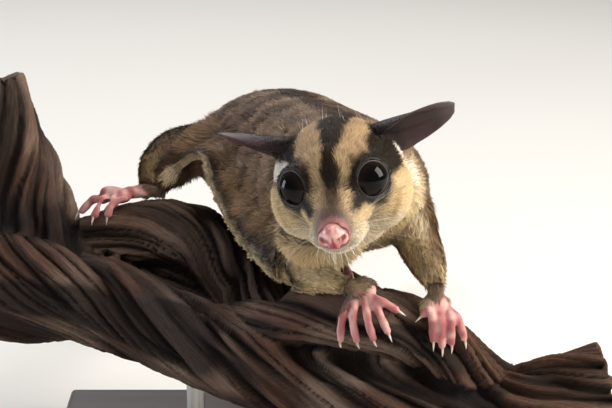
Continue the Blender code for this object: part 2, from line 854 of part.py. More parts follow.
def digit(start, way, reach, radius, tree):
    """One finger or toe, arched at its knuckle and curled over what it holds, with pad and claw."""
    place = settled(start, tree, radius + GAP + DIGIT_ARCH[0])
    places = [place.copy()]
    joints = len(DIGIT_TAPER) - 1
    for arch in DIGIT_ARCH[1:]:
        place = settled(place + way * reach / joints, tree, radius + GAP + arch)
        way = (place - places[-1]).normalized()
        places.append(place)
    rows = [(*(p / MM), radius * s / MM, radius * s / MM) for p, s in zip(places, DIGIT_TAPER)]
    finger = loft("finger", rows, sides=10, steps=3)
    last = places[-1]
    _, normal, _, _ = tree.find_nearest(last)
    claw_rows = []
    claw_steps = 4
    for step in range(claw_steps + 1):
        t = step / claw_steps
        arch = CLAW_ARCH * t - CLAW_HOOK * t * t
        point = last + way * CLAW_LENGTH * t + normal * arch
        thick = CLAW_RADIUS * (1 - 0.75 * t) / MM
        claw_rows.append((*(point / MM), thick, thick))
    claw = loft("claw", claw_rows, sides=8, steps=1)
    pad = ball("pad", last, [radius * PAD_SWELL] * 3, segments=12)
    return [finger, claw, pad]


def make_hand(plan, tree):
    """A wrist, a palm and five digits that start on its knuckle line, held against the vine."""
    forward = Vector(plan["forward"]).normalized()
    across = Vector(plan["across"])
    across = (across - forward * across.dot(forward)).normalized()
    turn = Matrix((across, across.cross(forward), forward)).transposed()
    half_across, half_thick, half_long = plan["palm"]
    knuckles = Vector(plan["knuckles"]) * MM
    palm = settled(knuckles - forward * half_long * PALM_BEHIND * MM, tree, half_thick * MM + GAP)
    rows = (*plan["wrist"], (*(palm / MM), half_thick * 1.1, half_thick))
    pieces = [loft("wrist", rows, sides=14, steps=3)]
    frame = Matrix.Translation(palm) @ turn.to_4x4()
    pieces.append(ball("palm", Vector(), Vector(plan["palm"]) * MM, frame, 16))
    for (offset, lean, ahead, reach) in plan["digits"]:
        way = (forward * ahead + across * lean).normalized()
        pieces += digit(knuckles + across * offset * MM, way, reach * MM, plan["radius"] * MM, tree)
    return thinned(fused(pieces, plan["name"], HAND_VOXEL, smoothing=2), HAND_TRIANGLES)


def make_membrane(name, edge, root, bulge):
    """A folded sheet hung between a line on the flank and its own free edge."""
    across = 4
    dense_edge = curve_through(edge, 3)
    count = len(dense_edge)
    dense_root = curve_through(root, 3)
    bm = bmesh.new()
    grid = []
    for index in range(count):
        t = index / (count - 1)
        low = Vector(dense_edge[index])
        high = Vector(dense_root[round(t * (len(dense_root) - 1))])
        line = []
        for step in range(across + 1):
            s = step / across
            fade = math.sin(math.pi * min(1.0, s * 1.2))
            ripple = RIPPLE_SHARE * math.sin(2 * math.pi * RIPPLES * t) * fade
            point = high.lerp(low, s) + Vector(bulge) * (math.sin(math.pi * s) + ripple)
            line.append(bm.verts.new(point * MM))
        grid.append(line)
    for first, second in zip(grid, grid[1:]):
        for step in range(across):
            bm.faces.new((first[step], first[step + 1], second[step + 1], second[step]))
    bmesh.ops.triangulate(bm, faces=bm.faces)
    sheet = object_from(bm, name)
    thick = sheet.modifiers.new("Sheet", "SOLIDIFY")
    thick.thickness = MEMBRANE_SHEET
    thick.offset = 0.0
    return applied(sheet)


def tail_spot(dense, frames, at, turn):
    """The tail's centre at a fractional row, its run, the way out at this turn and the fur's radius."""
    index = min(int(at), len(dense) - 2)
    first, second = Vector(dense[index][:3]), Vector(dense[index + 1][:3])
    centre = first.lerp(second, at - index) * MM
    side, up = frames[index]
    outward = (side * math.cos(turn) + up * math.sin(turn)).normalized()
    row = dense[min(round(at), len(dense) - 1)]
    fur = math.hypot(row[3] * math.cos(turn), row[4] * math.sin(turn)) * MM
    return centre, (second - first).normalized(), outward, fur


def tail_lock(dense, frames, at, turn, draw):
    """A flat tapered lock that leaves the core, bends along the tail and thins to its tip."""
    scale = tail_spot(dense, frames, at, turn)[3] / FULL_FUR_RADIUS
    reach = TAIL_LOCK_LENGTH * (0.45 + 0.55 * scale) * draw.uniform(0.9, 1.1)
    width = TAIL_LOCK_WIDTH * (0.35 + 0.65 * scale) * draw.uniform(0.9, 1.1)
    fullness = draw.uniform(0.94, 1.04)
    lean = draw.uniform(-0.3, 0.3)
    bm = bmesh.new()
    rings = []
    for share, wide, thick in LOCK_SECTIONS:
        centre, along, outward, fur = tail_spot(
            dense, frames, at + share * reach / TAIL_STEP, turn + lean * share
        )
        climb = math.sin(0.5 * math.pi * min(1.0, share * 1.15))
        place = centre + outward * fur * fullness * (TAIL_ROOT_SHARE + (1 - TAIL_ROOT_SHARE) * climb)
        side = along.cross(outward).normalized() * width * wide / 2
        up = outward * TAIL_LOCK_THICKNESS * thick / 2
        rings.append([bm.verts.new(place + corner) for corner in (side, up, -side, -up)])
    for first, second in zip(rings, rings[1:]):
        for corner in range(4):
            after = (corner + 1) % 4
            bm.faces.new((first[corner], first[after], second[after], second[corner]))
    bm.faces.new(rings[0])
    bm.faces.new(rings[-1])
    bmesh.ops.recalc_face_normals(bm, faces=bm.faces)
    return object_from(bm, "lock")


def make_tail():
    """The tail's core and its locks as one closed body."""
    core_rows = []
    for index, row in enumerate(TAIL):
        share = TAIL_CORE_SHARE + (1 - TAIL_CORE_SHARE) * max(0.0, 1 - index / 2)
        core_rows.append((*row[:3], row[3] * share, row[4] * share))
    core = loft("tail", core_rows, sides=9, steps=1)
    dense = curve_through(TAIL, TAIL_STEPS)
    frames = frames_along([Vector(row[:3]) * MM for row in dense])
    locks = new_collection("locks", hidden=True)
    draw = random.Random(7)
    last = len(dense) - 1 - TAIL_STEPS
    for ring in range(TAIL_LOCK_RINGS):
        at = TAIL_STEPS + (last - TAIL_STEPS) * ring / (TAIL_LOCK_RINGS - 1)
        for index in range(TAIL_LOCKS_ROUND):
            turn = 2 * math.pi * (index + 0.5 * (ring % 2) + draw.uniform(-0.12, 0.12))
            spot = at + draw.uniform(-2.0, 2.0)
            place_in(locks, tail_lock(dense, frames, spot, turn / TAIL_LOCKS_ROUND, draw))
    union = core.modifiers.new("Locks", "BOOLEAN")
    union.operation = "UNION"
    union.operand_type = "COLLECTION"
    union.collection = locks
    union.solver = "MANIFOLD"
    applied(core)
    for lock in list(locks.objects):
        remove(lock)
    return keep_largest(core)


def make_vine():
    strands = [
        loft("strand", rows, sides=30, steps=5, ridges=VINE_RIDGES, twist=VINE_TWIST_PER_MM)
        for rows in (VINE_FRONT, VINE_STEM, VINE_HUMP, VINE_ARCH, VINE_BACK)
    ]
    return fused(strands, "perch_vine", VINE_VOXEL, smoothing=3)


def make_stand(vine_grown):
    base = block(
        "stand_base",
        Matrix.Translation((0, 0, BASE_THICKNESS / 2)),
        (BASE_LENGTH, BASE_WIDTH, BASE_THICKNESS),
    )
    soft = base.modifiers.new("Edge", "BEVEL")
    soft.width = BASE_BEVEL
    soft.segments = 3
    applied(base)
    rods = []
    for index, (x, y) in enumerate(ROD_PLACES, start=1):
        bottom = BASE_THICKNESS + GAP
        top = ROD_TOP
        bm = bmesh.new()
        bmesh.ops.create_cone(
            bm,
            cap_ends=True,
            segments=24,
            radius1=ROD_RADIUS,
            radius2=ROD_RADIUS,
            depth=top - bottom,
        )
        bm.transform(Matrix.Translation((x * MM, y * MM, (top + bottom) / 2)))
        rod = object_from(bm, f"stand_rod_{index}")
        cut_by(rod, vine_grown)
        rods.append(rod)
    return base, rods


def finish_of(name):
    for start, finish in FINISH_STARTS:
        if name.startswith(start):
            return finish
    return "back fur"


def place_in(collection, item):
    for holder in list(item.users_collection):
        holder.objects.unlink(item)
    collection.objects.link(item)


def finished(item, finish):
    """Gives an object its material, and smooth shading up to sharp edges."""
    item.data.materials.clear()
    item.data.materials.append(finish)
    item.data.shade_smooth()
    item.data.set_sharp_from_angle(angle=math.radians(40.0))


def main():
    clear_scene()
    glider = new_collection("sugar_glider")
    finishes = {
        "back fur": material("Grey-brown back fur", (0.17, 0.12, 0.085), 0.85),
        "face fur": material("Cream face fur", (0.55, 0.42, 0.26), 0.85),
        "limb fur": material("Brown limb fur", (0.22, 0.15, 0.09), 0.85),
        "membrane": material("Brown membrane fur", (0.15, 0.10, 0.065), 0.85),
        "tail fur": material("Grey tail fur", (0.11, 0.085, 0.07), 0.85),
        "ear": material("Bare dark ear skin", (0.12, 0.07, 0.06), 0.6),
        "skin": material("Pink bare skin", (0.66, 0.26, 0.23), 0.5),
        "eye": material("Black eye", (0.01, 0.01, 0.012), 0.08),
        "vine": material("Weathered vine", (0.13, 0.085, 0.055), 0.9),
        "stand": material("Dark stained wood stand", (0.05, 0.035, 0.028), 0.45),
        "rod": material("Steel stand rod", (0.35, 0.35, 0.35), 0.35),
    }
    frame = head_frame()

    vine = make_vine()
    vine_tree = surface_of(vine)
    thinned(vine, VINE_TRIANGLES)
    vine_grown = grown(vine, GAP, "vine clearance")

    # The whole of the soft body is fused once and then parted
    body = fused(
        head_pieces(frame, False)
        + [
            loft("trunk", TRUNK, sides=28),
            loft("neck", NECK, sides=28),
            ball("chest", Vector(CHEST_PLACE) * MM, Vector(CHEST_RADII) * MM),
            loft("arm", ARM_RIGHT),
            loft("arm", ARM_LEFT),
            loft("leg", LEG_RIGHT),
            loft("leg", LEG_LEFT),
            loft("fold", FOLD_RIGHT),
            loft("tail", TAIL_STUB, sides=22),
        ],
        "torso",
        BODY_VOXEL,
    )
    thinned(body, BODY_TRIANGLES)
    body_grown = grown(body, GAP, "body clearance")
    cut_by(body, vine_grown)

    nodes = {}
    tail = make_tail()
    tail_zone = sleeve("tail zone", TAIL[1:] + (TAIL_END,), 9.0, start=-GAP / MM)
    boolean(tail, tail_zone, "INTERSECT", "MANIFOLD")
    remove(tail_zone)
    remove(parted(body, TAIL[1:], "tail stub", 4.0))
    nodes["tail_3"] = parted(tail, TAIL[6:] + (TAIL_END,), "tail_3", 9.0)
    nodes["tail_2"] = parted(tail, TAIL[4:] + (TAIL_END,), "tail_2", 9.0)
    nodes["tail_1"] = tail
    nodes["arm_right"] = parted(body, ARM_RIGHT[1:], "arm_right", 1.5)
    nodes["arm_left"] = parted(body, ARM_LEFT[1:], "arm_left", 1.5)
    nodes["leg_right"] = parted(body, LEG_RIGHT[1:], "leg_right", 1.5)
    nodes["leg_left"] = parted(body, LEG_LEFT[1:], "leg_left", 1.5)
    nodes["neck"] = part_neck(body)
    nodes["torso"] = body

    nose = make_nose(frame)
    head = make_head(frame, nose)
    head_grown = grown(head, GAP, "head clearance")
    nodes["head"] = head
    nodes["nose"] = nose
    for side, name in ((-1, "right"), (1, "left")):
        eye = ball("eye", mirrored(side, EYE_PLACE), [EYE_RADIUS] * 3, frame, 14)
        nodes[f"eye_{name}"] = eye
        nodes[f"ear_{name}"] = make_ear(side, frame, head_grown)

    hand_right = make_hand(HAND_RIGHT, vine_tree)
    hand_left = make_hand(HAND_LEFT, vine_tree)
    foot_right = make_hand(FOOT_RIGHT, vine_tree)
    foot_left = make_hand(FOOT_LEFT, vine_tree)
    extremities = {
        "hand_right": hand_right,
        "hand_left": hand_left,
        "foot_right": foot_right,
        "foot_left": foot_left,
    }
    for name, item in extremities.items():
        cut_by(item, vine_grown)
        cut_by(item, body_grown)
        nodes[name] = item

    membranes = {
        "membrane_right": (MEMBRANE_RIGHT_EDGE, MEMBRANE_RIGHT_ROOT, (-1.6, -0.4, -0.6)),
        "membrane_left": (MEMBRANE_LEFT_EDGE, MEMBRANE_LEFT_ROOT, (1.6, 0.4, -0.6)),
    }
    for name, (edge, root, bulge) in membranes.items():
        sheet = make_membrane(name, edge, root, bulge)
        cut_by(sheet, vine_grown, "MANIFOLD")
        cut_by(sheet, body_grown, "MANIFOLD")
        for limb in extremities.values():
            limb_grown = grown(limb, GAP, "limb clearance")
            cut_by(sheet, limb_grown, "MANIFOLD")
            remove(limb_grown)
        nodes[name] = sheet

    base, rods = make_stand(vine_grown)
    nodes["stand_base"] = base
    for rod in rods:
        nodes[rod.name] = rod
    nodes["perch_vine"] = vine
    for cutter in (vine_grown, body_grown, head_grown):
        remove(cutter)
    for name, item in nodes.items():
        item.name = name
        place_in(glider, item)
        finished(item, finishes[finish_of(name)])


main()
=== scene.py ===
# %% [markdown]
# # A sugar glider on a twisted vine
#
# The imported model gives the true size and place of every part. This lesson dresses it: one skin with
# a coat of fur over it, wet eyes, a moist nose, thin ears, claws and whiskers, weathered vine wood, and
# a small display stand. Each step says what the thing is on the real animal and how it is made here.

import bmesh
import bpy
import math
import numpy as np
from mathutils import Matrix, Vector
from mathutils.bvhtree import BVHTree


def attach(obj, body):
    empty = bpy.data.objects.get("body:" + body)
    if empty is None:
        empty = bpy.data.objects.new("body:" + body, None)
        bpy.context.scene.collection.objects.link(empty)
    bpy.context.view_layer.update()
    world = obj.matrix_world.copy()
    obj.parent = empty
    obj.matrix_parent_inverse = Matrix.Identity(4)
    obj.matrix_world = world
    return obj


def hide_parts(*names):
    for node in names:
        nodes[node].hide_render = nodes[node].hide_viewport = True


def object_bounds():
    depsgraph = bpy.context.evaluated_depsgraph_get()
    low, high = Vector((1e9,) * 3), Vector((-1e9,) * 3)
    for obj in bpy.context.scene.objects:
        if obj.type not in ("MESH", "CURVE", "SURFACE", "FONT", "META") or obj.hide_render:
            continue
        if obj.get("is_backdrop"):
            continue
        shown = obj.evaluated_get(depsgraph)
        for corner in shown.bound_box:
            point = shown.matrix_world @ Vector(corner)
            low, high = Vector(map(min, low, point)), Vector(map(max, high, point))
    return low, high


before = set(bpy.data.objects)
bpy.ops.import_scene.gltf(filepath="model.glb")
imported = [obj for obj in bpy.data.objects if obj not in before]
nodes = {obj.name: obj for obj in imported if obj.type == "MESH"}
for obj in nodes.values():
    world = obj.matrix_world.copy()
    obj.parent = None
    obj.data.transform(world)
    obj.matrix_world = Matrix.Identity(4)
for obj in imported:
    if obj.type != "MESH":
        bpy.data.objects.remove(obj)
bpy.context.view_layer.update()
MM = 0.001

# %% [markdown]
# ## The camera
#
# A portrait taken from close by with a long lens: the camera stands 550 mm from the head, a little above
# it, and looks straight at the animal's face. It comes first, because everything is judged through it.

# %% The camera
AIM = Vector((8.0, -40.0, 92.0)) * MM
CAMERA_DISTANCE = 550.0 * MM
CAMERA_ELEVATION = math.radians(14.0)
LENS_MM = 126.18

bpy.ops.object.select_all(action="DESELECT")
back = Vector((0.0, -math.cos(CAMERA_ELEVATION), math.sin(CAMERA_ELEVATION)))
bpy.ops.object.camera_add(location=AIM + back * CAMERA_DISTANCE)
camera = bpy.context.object
camera.rotation_euler = (-back).to_track_quat("-Z", "Y").to_euler()
camera.data.lens = LENS_MM
camera.data.sensor_width = 36.0
camera.data.clip_start = 0.01
camera.data.clip_end = 20.0
bpy.context.scene.camera = camera
print("camera at", [round(v / MM) for v in camera.location], "mm")

# %% [markdown]
# ## Small tools
#
# Colours are written as they look on a screen, in hex, and one function turns them to the linear values
# that light adds up in. Another adds a node to a material. A third gives smooth random values in space,
# which is what mottled fur and wood are made from.

# %% Colours, nodes and smooth noise


def linear(hexed):
    """The linear red, green and blue of a screen colour such as 8A6E57."""
    values = [int(hexed[at : at + 2], 16) / 255 for at in (0, 2, 4)]
    return tuple(v / 12.92 if v <= 0.04045 else ((v + 0.055) / 1.055) ** 2.4 for v in values)


def colour(hexed):
    return (*linear(hexed), 1.0)


def new_material(name):
    made = bpy.data.materials.new(name)
    made.use_nodes = True
    shader = made.node_tree.nodes["Principled BSDF"]
    return made, made.node_tree, shader


def finish(shader, **values):
    """Sets the plain values of a finish by name, such as its roughness."""
    for name, value in values.items():
        shader.inputs[name.replace("_", " ")].default_value = value


def add_node(tree, kind, settings=None, **sockets):
    """Adds a node, sets its settings, and fills or links its inputs by name."""
    node = tree.nodes.new(kind)
    for name, value in (settings or {}).items():
        setattr(node, name, value)
    for name, value in sockets.items():
        socket = node.inputs[name.replace("_", " ")]
        if isinstance(value, bpy.types.NodeSocket):
            tree.links.new(value, socket)
        else:
            socket.default_value = value
    return node


def lattice(cells, seed):
    """A repeatable random value from 0 to 1 for each whole-numbered cell."""
    mixed = cells[..., 0] * 374761393 + cells[..., 1] * 668265263 + cells[..., 2] * 2147483647
    mixed = (mixed + seed * 1274126177) & 0x7FFFFFFF
    mixed = ((mixed ^ (mixed >> 13)) * 1274126177) & 0x7FFFFFFF
    return ((mixed ^ (mixed >> 16)) & 0xFFFFFF) / 0xFFFFFF


def noise(points, seed=0):
    """Smooth random values from 0 to 1, one cell across for each unit of the points."""
    cell = np.floor(points).astype(np.int64)
    part = points - cell
    part = part * part * (3 - 2 * part)
    total = np.zeros(len(points))
    for corner in range(8):
        step = np.array([corner & 1, (corner >> 1) & 1, corner >> 2])
        weight = np.prod(np.where(step == 1, part, 1 - part), axis=1)
        total += weight * lattice(cell + step, seed)
    return total


def smoothstep(low, high, values):
    share = np.clip((values - low) / (high - low), 0.0, 1.0)
    return share * share * (3 - 2 * share)


def points_of(mesh):
    places = np.empty(len(mesh.vertices) * 3, np.float32)
    mesh.vertices.foreach_get("co", places)
    return places.reshape(-1, 3).astype(float) / MM


def normals_of(mesh):
    ways = np.empty(len(mesh.vertices) * 3, np.float32)
    mesh.vertices.foreach_get("normal", ways)
    return ways.reshape(-1, 3).astype(float)


def set_points(mesh, places):
    mesh.vertices.foreach_set("co", (places * MM).astype(np.float32).ravel())
    mesh.update()


def unit(vectors):
    return vectors / np.maximum(np.linalg.norm(vectors, axis=-1, keepdims=True), 1e-9)


print("tools ready, noise at the origin:", round(float(noise(np.zeros((1, 3)))[0]), 3))

# %% [markdown]
# ## Where things are on the animal
#
# The head has its own frame, turned and tilted as in the pose. Lines through the body, the tail, and
# along the free edges of the gliding membranes say which way the fur lies and where the markings run.
# They follow the same forms as the model, in millimetres.

# %% Guide lines
HEAD_CENTRE = np.array((16.0, -52.0, 101.0))
HEAD_TURN = (
    Matrix.Rotation(math.radians(-6.5), 3, "Z")
    @ Matrix.Rotation(math.radians(-8.5), 3, "Y")
    @ Matrix.Rotation(math.radians(10.0), 3, "X")
)
HEAD_AXES = np.array(HEAD_TURN)
EYE_PLACE = np.array((8.6, -8.6, 3.2))
EYE_RADIUS = 5.0
EYE_OUTWARD = math.radians(38.0)
EYE_UPWARD = math.radians(12.0)
EAR_ROOT = np.array((12.6, 6.6, 7.0))
NOSE_PLACE = np.array((0.0, -25.3, -3.7))

SPINE = np.array(
    (
        (16.5, -42.0, 112.0),
        (18.0, -32.0, 110.5),
        (19.5, -20.0, 109.5),
        (17.5, -6.0, 109.0),
        (10.5, 12.0, 108.5),
        (3.0, 30.0, 108.0),
        (-4.5, 45.0, 103.5),
        (-10.0, 58.0, 94.0),
        (-13.5, 67.0, 87.5),
        (-14.5, 76.0, 84.0),
    )
)
TAIL_LINE = np.array(
    (
        (-13.0, 64.0, 80.5),
        (-14.5, 74.0, 78.5),
        (-15.0, 90.0, 72.0),
        (-12.0, 112.0, 60.0),
        (-5.0, 134.0, 49.0),
        (6.0, 157.0, 41.0),
        (17.0, 179.0, 37.5),
        (27.0, 200.0, 38.0),
        (34.0, 216.0, 40.5),
        (39.5, 229.0, 43.5),
    )
)
TAIL_FUR = np.array((7.5, 7.5, 9.2, 11.2, 12.0, 12.0, 11.5, 10.0, 7.2, 2.0))
EDGE_RIGHT = np.array(
    (
        (16.0, -45.0, 69.8),
        (9.5, -38.0, 67.5),
        (1.0, -27.0, 67.5),
        (-7.0, -14.0, 71.0),
        (-14.0, -2.0, 77.5),
        (-19.0, 8.0, 85.0),
        (-21.5, 15.0, 91.0),
        (-25.0, 18.5, 90.5),
        (-31.0, 20.5, 85.0),
    )
)
EDGE_LEFT = np.array(
    (
        (41.5, -44.0, 71.5),
        (43.5, -37.0, 71.0),
        (44.5, -26.0, 72.0),
        (44.0, -12.0, 73.5),
        (41.5, 2.0, 74.5),
        (36.5, 14.0, 75.0),
        (29.0, 22.0, 74.0),
        (23.0, 19.0, 71.0),
    )
)
WRISTS = {
    "hand_right": np.array((18.0, -46.0, 72.0)),
    "hand_left": np.array((40.8, -47.0, 72.5)),
    "foot_right": np.array((-33.0, 22.0, 81.2)),
    "foot_left": np.array((14.3, 14.0, 68.6)),
}


def in_head(points):
    """Points in the head's own frame: its left, its back and up, in mm from the skull's middle."""
    return (points - HEAD_CENTRE) @ HEAD_AXES


def from_head(point):
    return HEAD_CENTRE + HEAD_AXES @ np.asarray(point, float)


def eye_axis(side):
    """The way an eye looks, in the head's frame."""
    out, up = EYE_OUTWARD, EYE_UPWARD
    return np.array((side * math.sin(out) * math.cos(up), -math.cos(out) * math.cos(up), math.sin(up)))


def mirrored(side, place):
    return np.array((side * place[0], place[1], place[2]))


def along_line(points, line):
    """For each point: its distance to a line, the line's run there, and how far along it is, 0 to 1."""
    best = np.full(len(points), 1e9)
    run = np.zeros((len(points), 3))
    share = np.zeros(len(points))
    lengths = np.linalg.norm(np.diff(line, axis=0), axis=1)
    starts = np.concatenate([[0.0], np.cumsum(lengths)])
    for index in range(len(line) - 1):
        first, second = line[index], line[index + 1]
        span = second - first
        t = np.clip((points - first) @ span / (span @ span), 0.0, 1.0)
        gap = np.linalg.norm(points - first - t[:, None] * span, axis=1)
        near = gap < best
        best[near] = gap[near]
        run[near] = span / lengths[index]
        share[near] = (starts[index] + t[near] * lengths[index]) / starts[-1]
    return best, run, share


print("eyes at", [np.round(from_head(mirrored(s, EYE_PLACE)), 1).tolist() for s in (-1, 1)])

# %% [markdown]
# ## One skin
#
# The model comes in parts, as a person would name them, but a living animal has one skin. Copies of the
# parts, with ears and hands made again, are fused by a voxel remesh, which keeps no seam. The tail's flesh
# is a slim tube inside its fur. The skin is then drawn in by the depth of the coat, which differs from
# place to place: nothing on the hands and feet, under a millimetre on the face, more on the back.

# %% Copies, tubes and tools for the skin
FLESH = (
    "torso neck head arm_left arm_right leg_left leg_right hand_left hand_right foot_left foot_right "
    "ear_left ear_right membrane_left membrane_right"
).split()
TAIL_FLESH_SHARE = 0.38
SKIN_VOXEL = 0.36 * MM
SKIN_FACES = 180000
SWELL = 0.22


def apply_modifiers(piece):
    bpy.ops.object.select_all(action="DESELECT")
    piece.select_set(True)
    bpy.context.view_layer.objects.active = piece
    for modifier in list(piece.modifiers):
        bpy.ops.object.modifier_apply(modifier=modifier.name)
    return piece


def node_copy(name):
    """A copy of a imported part, as a closed mesh that stands free of the model."""
    made = nodes[name].copy()
    made.data = nodes[name].data.copy()
    for key in list(made.keys()):
        del made[key]
    made.parent = None
    made.matrix_world = Matrix.Identity(4)
    made.data.materials.clear()
    bpy.context.scene.collection.objects.link(made)
    merge = bmesh.new()
    merge.from_mesh(made.data)
    bmesh.ops.remove_doubles(merge, verts=merge.verts, dist=0.00001)
    merge.to_mesh(made.data)
    merge.free()
    return made


def settle_in_mesh(piece):
    """Moves an object's place into its mesh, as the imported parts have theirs."""
    bpy.ops.object.select_all(action="DESELECT")
    piece.select_set(True)
    bpy.context.view_layer.objects.active = piece
    bpy.ops.object.transform_apply(location=True, rotation=True, scale=True)
    return piece


def tube(name, line, radii, sides=20):
    """A closed round tube along a line, made from a curve with a radius at each point."""
    curve = bpy.data.curves.new(name, "CURVE")
    curve.dimensions = "3D"
    curve.bevel_depth = 1.0 * MM
    curve.bevel_resolution = max(1, (sides - 4) // 4)
    curve.use_fill_caps = True
    curve.resolution_u = 6
    spline = curve.splines.new("BEZIER")
    spline.bezier_points.add(len(line) - 1)
    for point, place, radius in zip(spline.bezier_points, line, radii):
        point.co = Vector(place) * MM
        point.radius = radius
        point.handle_left_type = point.handle_right_type = "AUTO"
    made = bpy.data.objects.new(name, curve)
    bpy.context.scene.collection.objects.link(made)
    bpy.ops.object.select_all(action="DESELECT")
    made.select_set(True)
    bpy.context.view_layer.objects.active = made
    bpy.ops.object.convert(target="MESH")
    return bpy.context.object


print(len(FLESH), "parts are covered by the one skin")

# %% [markdown]
# ## Ears
#
# A glider's ear is a thin bare leaf that stands out from the head: rolled to a tube at its root, opening
# to a shallow cup. A leaf that thin is bent up row by row and given its thickness by a Solidify modifier.

# %% Two ear leaves
EARS = {
    "ear_left": ((10.8, 7.5, 8.2), (30.5, 16.0, 9.6), (0.1, -0.85, -0.5)),
    "ear_right": ((-10.8, 7.5, 7.6), (-30.5, 16.5, 9.6), (-0.1, -0.65, -0.75)),
}
EAR_WIDTH = 12.0
EAR_THICKNESS = 0.55


def ear_leaf(name):
    """A thin leaf, rolled at its root and opening to a shallow cup, with a soft fold along it."""
    root, tip, facing = (Vector(place) for place in EARS[name])
    along = (tip - root).normalized()
    across = along.cross(facing).normalized()
    out = across.cross(along).normalized()
    reach = (tip - root).length
    rows, columns = 40, 26
    made = bmesh.new()
    grid = []
    for row in range(rows + 1):
        t = -0.15 + 1.15 * row / rows
        half = EAR_WIDTH / 2 * math.sqrt(max(0.0, 1 - ((t - 0.42) / 0.6) ** 2)) + 0.05
        roll = math.radians(220.0 - 180.0 * max(t, 0.0) ** 0.7)
        radius = half / math.sin(min(roll, math.pi) / 2)
        middle = radius * math.sin(roll / 2) / (roll / 2)
        line = []
        for column in range(columns + 1):
            share = column / columns - 0.5
            turn = roll * share
            crease = 0.35 * math.sin(math.pi * 5 * share) * math.sin(math.pi * min(max(t, 0.0), 1.0))
            place = root + along * (reach * t) + across * (radius * math.sin(turn))
            place += out * (middle - radius * math.cos(turn) + crease)
            line.append(made.verts.new(Vector(from_head(place)) * MM))
        grid.append(line)
    for first, second in zip(grid, grid[1:]):
        for column in range(columns):
            made.faces.new((first[column], first[column + 1], second[column + 1], second[column]))
    mesh = bpy.data.meshes.new(name)
    made.to_mesh(mesh)
    made.free()
    leaf = bpy.data.objects.new(name, mesh)
    bpy.context.scene.collection.objects.link(leaf)
    sheet = leaf.modifiers.new("Sheet", "SOLIDIFY")
    sheet.thickness = EAR_THICKNESS * MM
    sheet.offset = 0.0
    return apply_modifiers(leaf)


print("ears", EAR_WIDTH, "mm wide and", EAR_THICKNESS, "mm thick")

# %% [markdown]
# ## Hands and feet
#
# The digits are slender and knuckled, and each one arches over the vine and lays its pad on it. A digit's
# middle line is walked in short steps that are settled on the vine's surface, a little off it, and a tube
# of changing radius follows the line. The solids of the model have the same plan, a little stouter.

# %% Where the hands and feet are
# Wrist, middle of the knuckles, ways forward and across, a digit's radius, and half sizes of the palm
HANDS = {
    "hand_right": (
        *((18.0, -45.6, 71.8), (21.4, -49.1, 69.4), (0.02, -0.45, -0.9), (1.0, -0.05, 0.03)),
        *(1.2, (4.2, 1.9, 3.6)),
    ),
    "hand_left": (
        *((41.0, -46.6, 72.6), (43.2, -49.3, 68.6), (0.3, -0.45, -0.85), (0.95, 0.1, -0.3)),
        *(1.2, (4.2, 1.9, 3.6)),
    ),
    "foot_right": (
        *((-32.5, 22.0, 81.3), (-46.5, 16.6, 79.0), (-0.34, -0.62, -0.72), (-1.0, 0.12, -0.12)),
        *(1.55, (5.4, 2.3, 3.0)),
    ),
    "foot_left": (
        *((14.4, 14.4, 68.7), (12.0, 3.5, 64.8), (-0.2, -0.9, -0.3), (0.95, -0.3, 0.0)),
        *(1.3, (4.4, 2.0, 4.2)),
    ),
}
# Each digit's place across the knuckles, its lean, its share of the way forward, and its reach
DIGITS = {
    "hand_right": ((-3.4, -0.3, 1, 10.5), (-1.15, -0.06, 1, 11.5), (1.15, 0.2, 1, 11), (3.3, 0.5, 1, 9)),
    "hand_left": (
        *((-3.8, -0.85, 0.9, 5.2), (-3.3, -0.4, 1, 9.5), (-1.15, -0.2, 1, 10.5)),
        (1.15, -0.02, 1, 10.5),
    ),
    "foot_right": ((-3.9, -0.15, 1, 6.5), (-1.4, -0.03, 1, 7.5), (1.3, 0.06, 1, 8), (3.9, 0.16, 1, 7.5)),
    "foot_left": ((-3.6, -0.3, 1, 8.5), (-1.25, -0.1, 1, 10.5), (1.25, 0.1, 1, 11), (3.6, 0.3, 1, 10)),
}
FIFTH_DIGIT = {
    "hand_right": (4, 1.1, 0.8, 6.5),
    "hand_left": (3.2, 0.12, 1, 9),
    "foot_right": (-2.6, -0.2, -1, 9),
    "foot_left": (4, 1, 0.8, 7.5),
}
for name, digit in FIFTH_DIGIT.items():
    DIGITS[name] = (*DIGITS[name], digit)
print("digits:", sum(len(row) for row in DIGITS.values()))

# %% Walk the digits over the vine
DIGIT_TAPER = (1.0, 0.9, 1.0, 0.86, 0.98, 0.78)
DIGIT_ARCH = (0.5, 1.1, 1.4, 0.9, 0.35, -0.1)
PAD_SHARE = 0.86
PALM_BEHIND = 0.6
PALM_SHARE = 0.97
VINE_GAP = 0.3


def bvh_of(name):
    mesh = nodes[name].data
    return BVHTree.FromPolygons([v.co for v in mesh.vertices], [list(f.vertices) for f in mesh.polygons])


vine_tree = bvh_of("perch_vine")


def settled(place, clearance):
    """A place moved to this many mm off the vine's surface, and the way out from it there."""
    near, out, _, _ = vine_tree.find_nearest(Vector(place) * MM)
    return near / MM + out * clearance, out


def hand_ways(name):
    """The ways forward and across of a hand or foot, square to each other."""
    forward, across = (Vector(way) for way in HANDS[name][2:4])
    forward.normalize()
    return forward, (across - forward * across.dot(forward)).normalized()


def digit_path(name, digit):
    """The middle line of a digit that arches over the vine, with its end's direction and way out."""
    _, knuckles, _, _, radius, _ = HANDS[name]
    offset, lean, ahead, reach = digit
    forward, across = hand_ways(name)
    way = (forward * ahead + across * lean).normalized()
    place, out = settled(Vector(knuckles) + across * offset, radius + VINE_GAP + DIGIT_ARCH[0])
    path = [place]
    for arch in DIGIT_ARCH[1:]:
        place, out = settled(place + way * reach / (len(DIGIT_ARCH) - 1), radius + VINE_GAP + arch)
        way = (place - path[-1]).normalized()
        path.append(place)
    return path, way, out


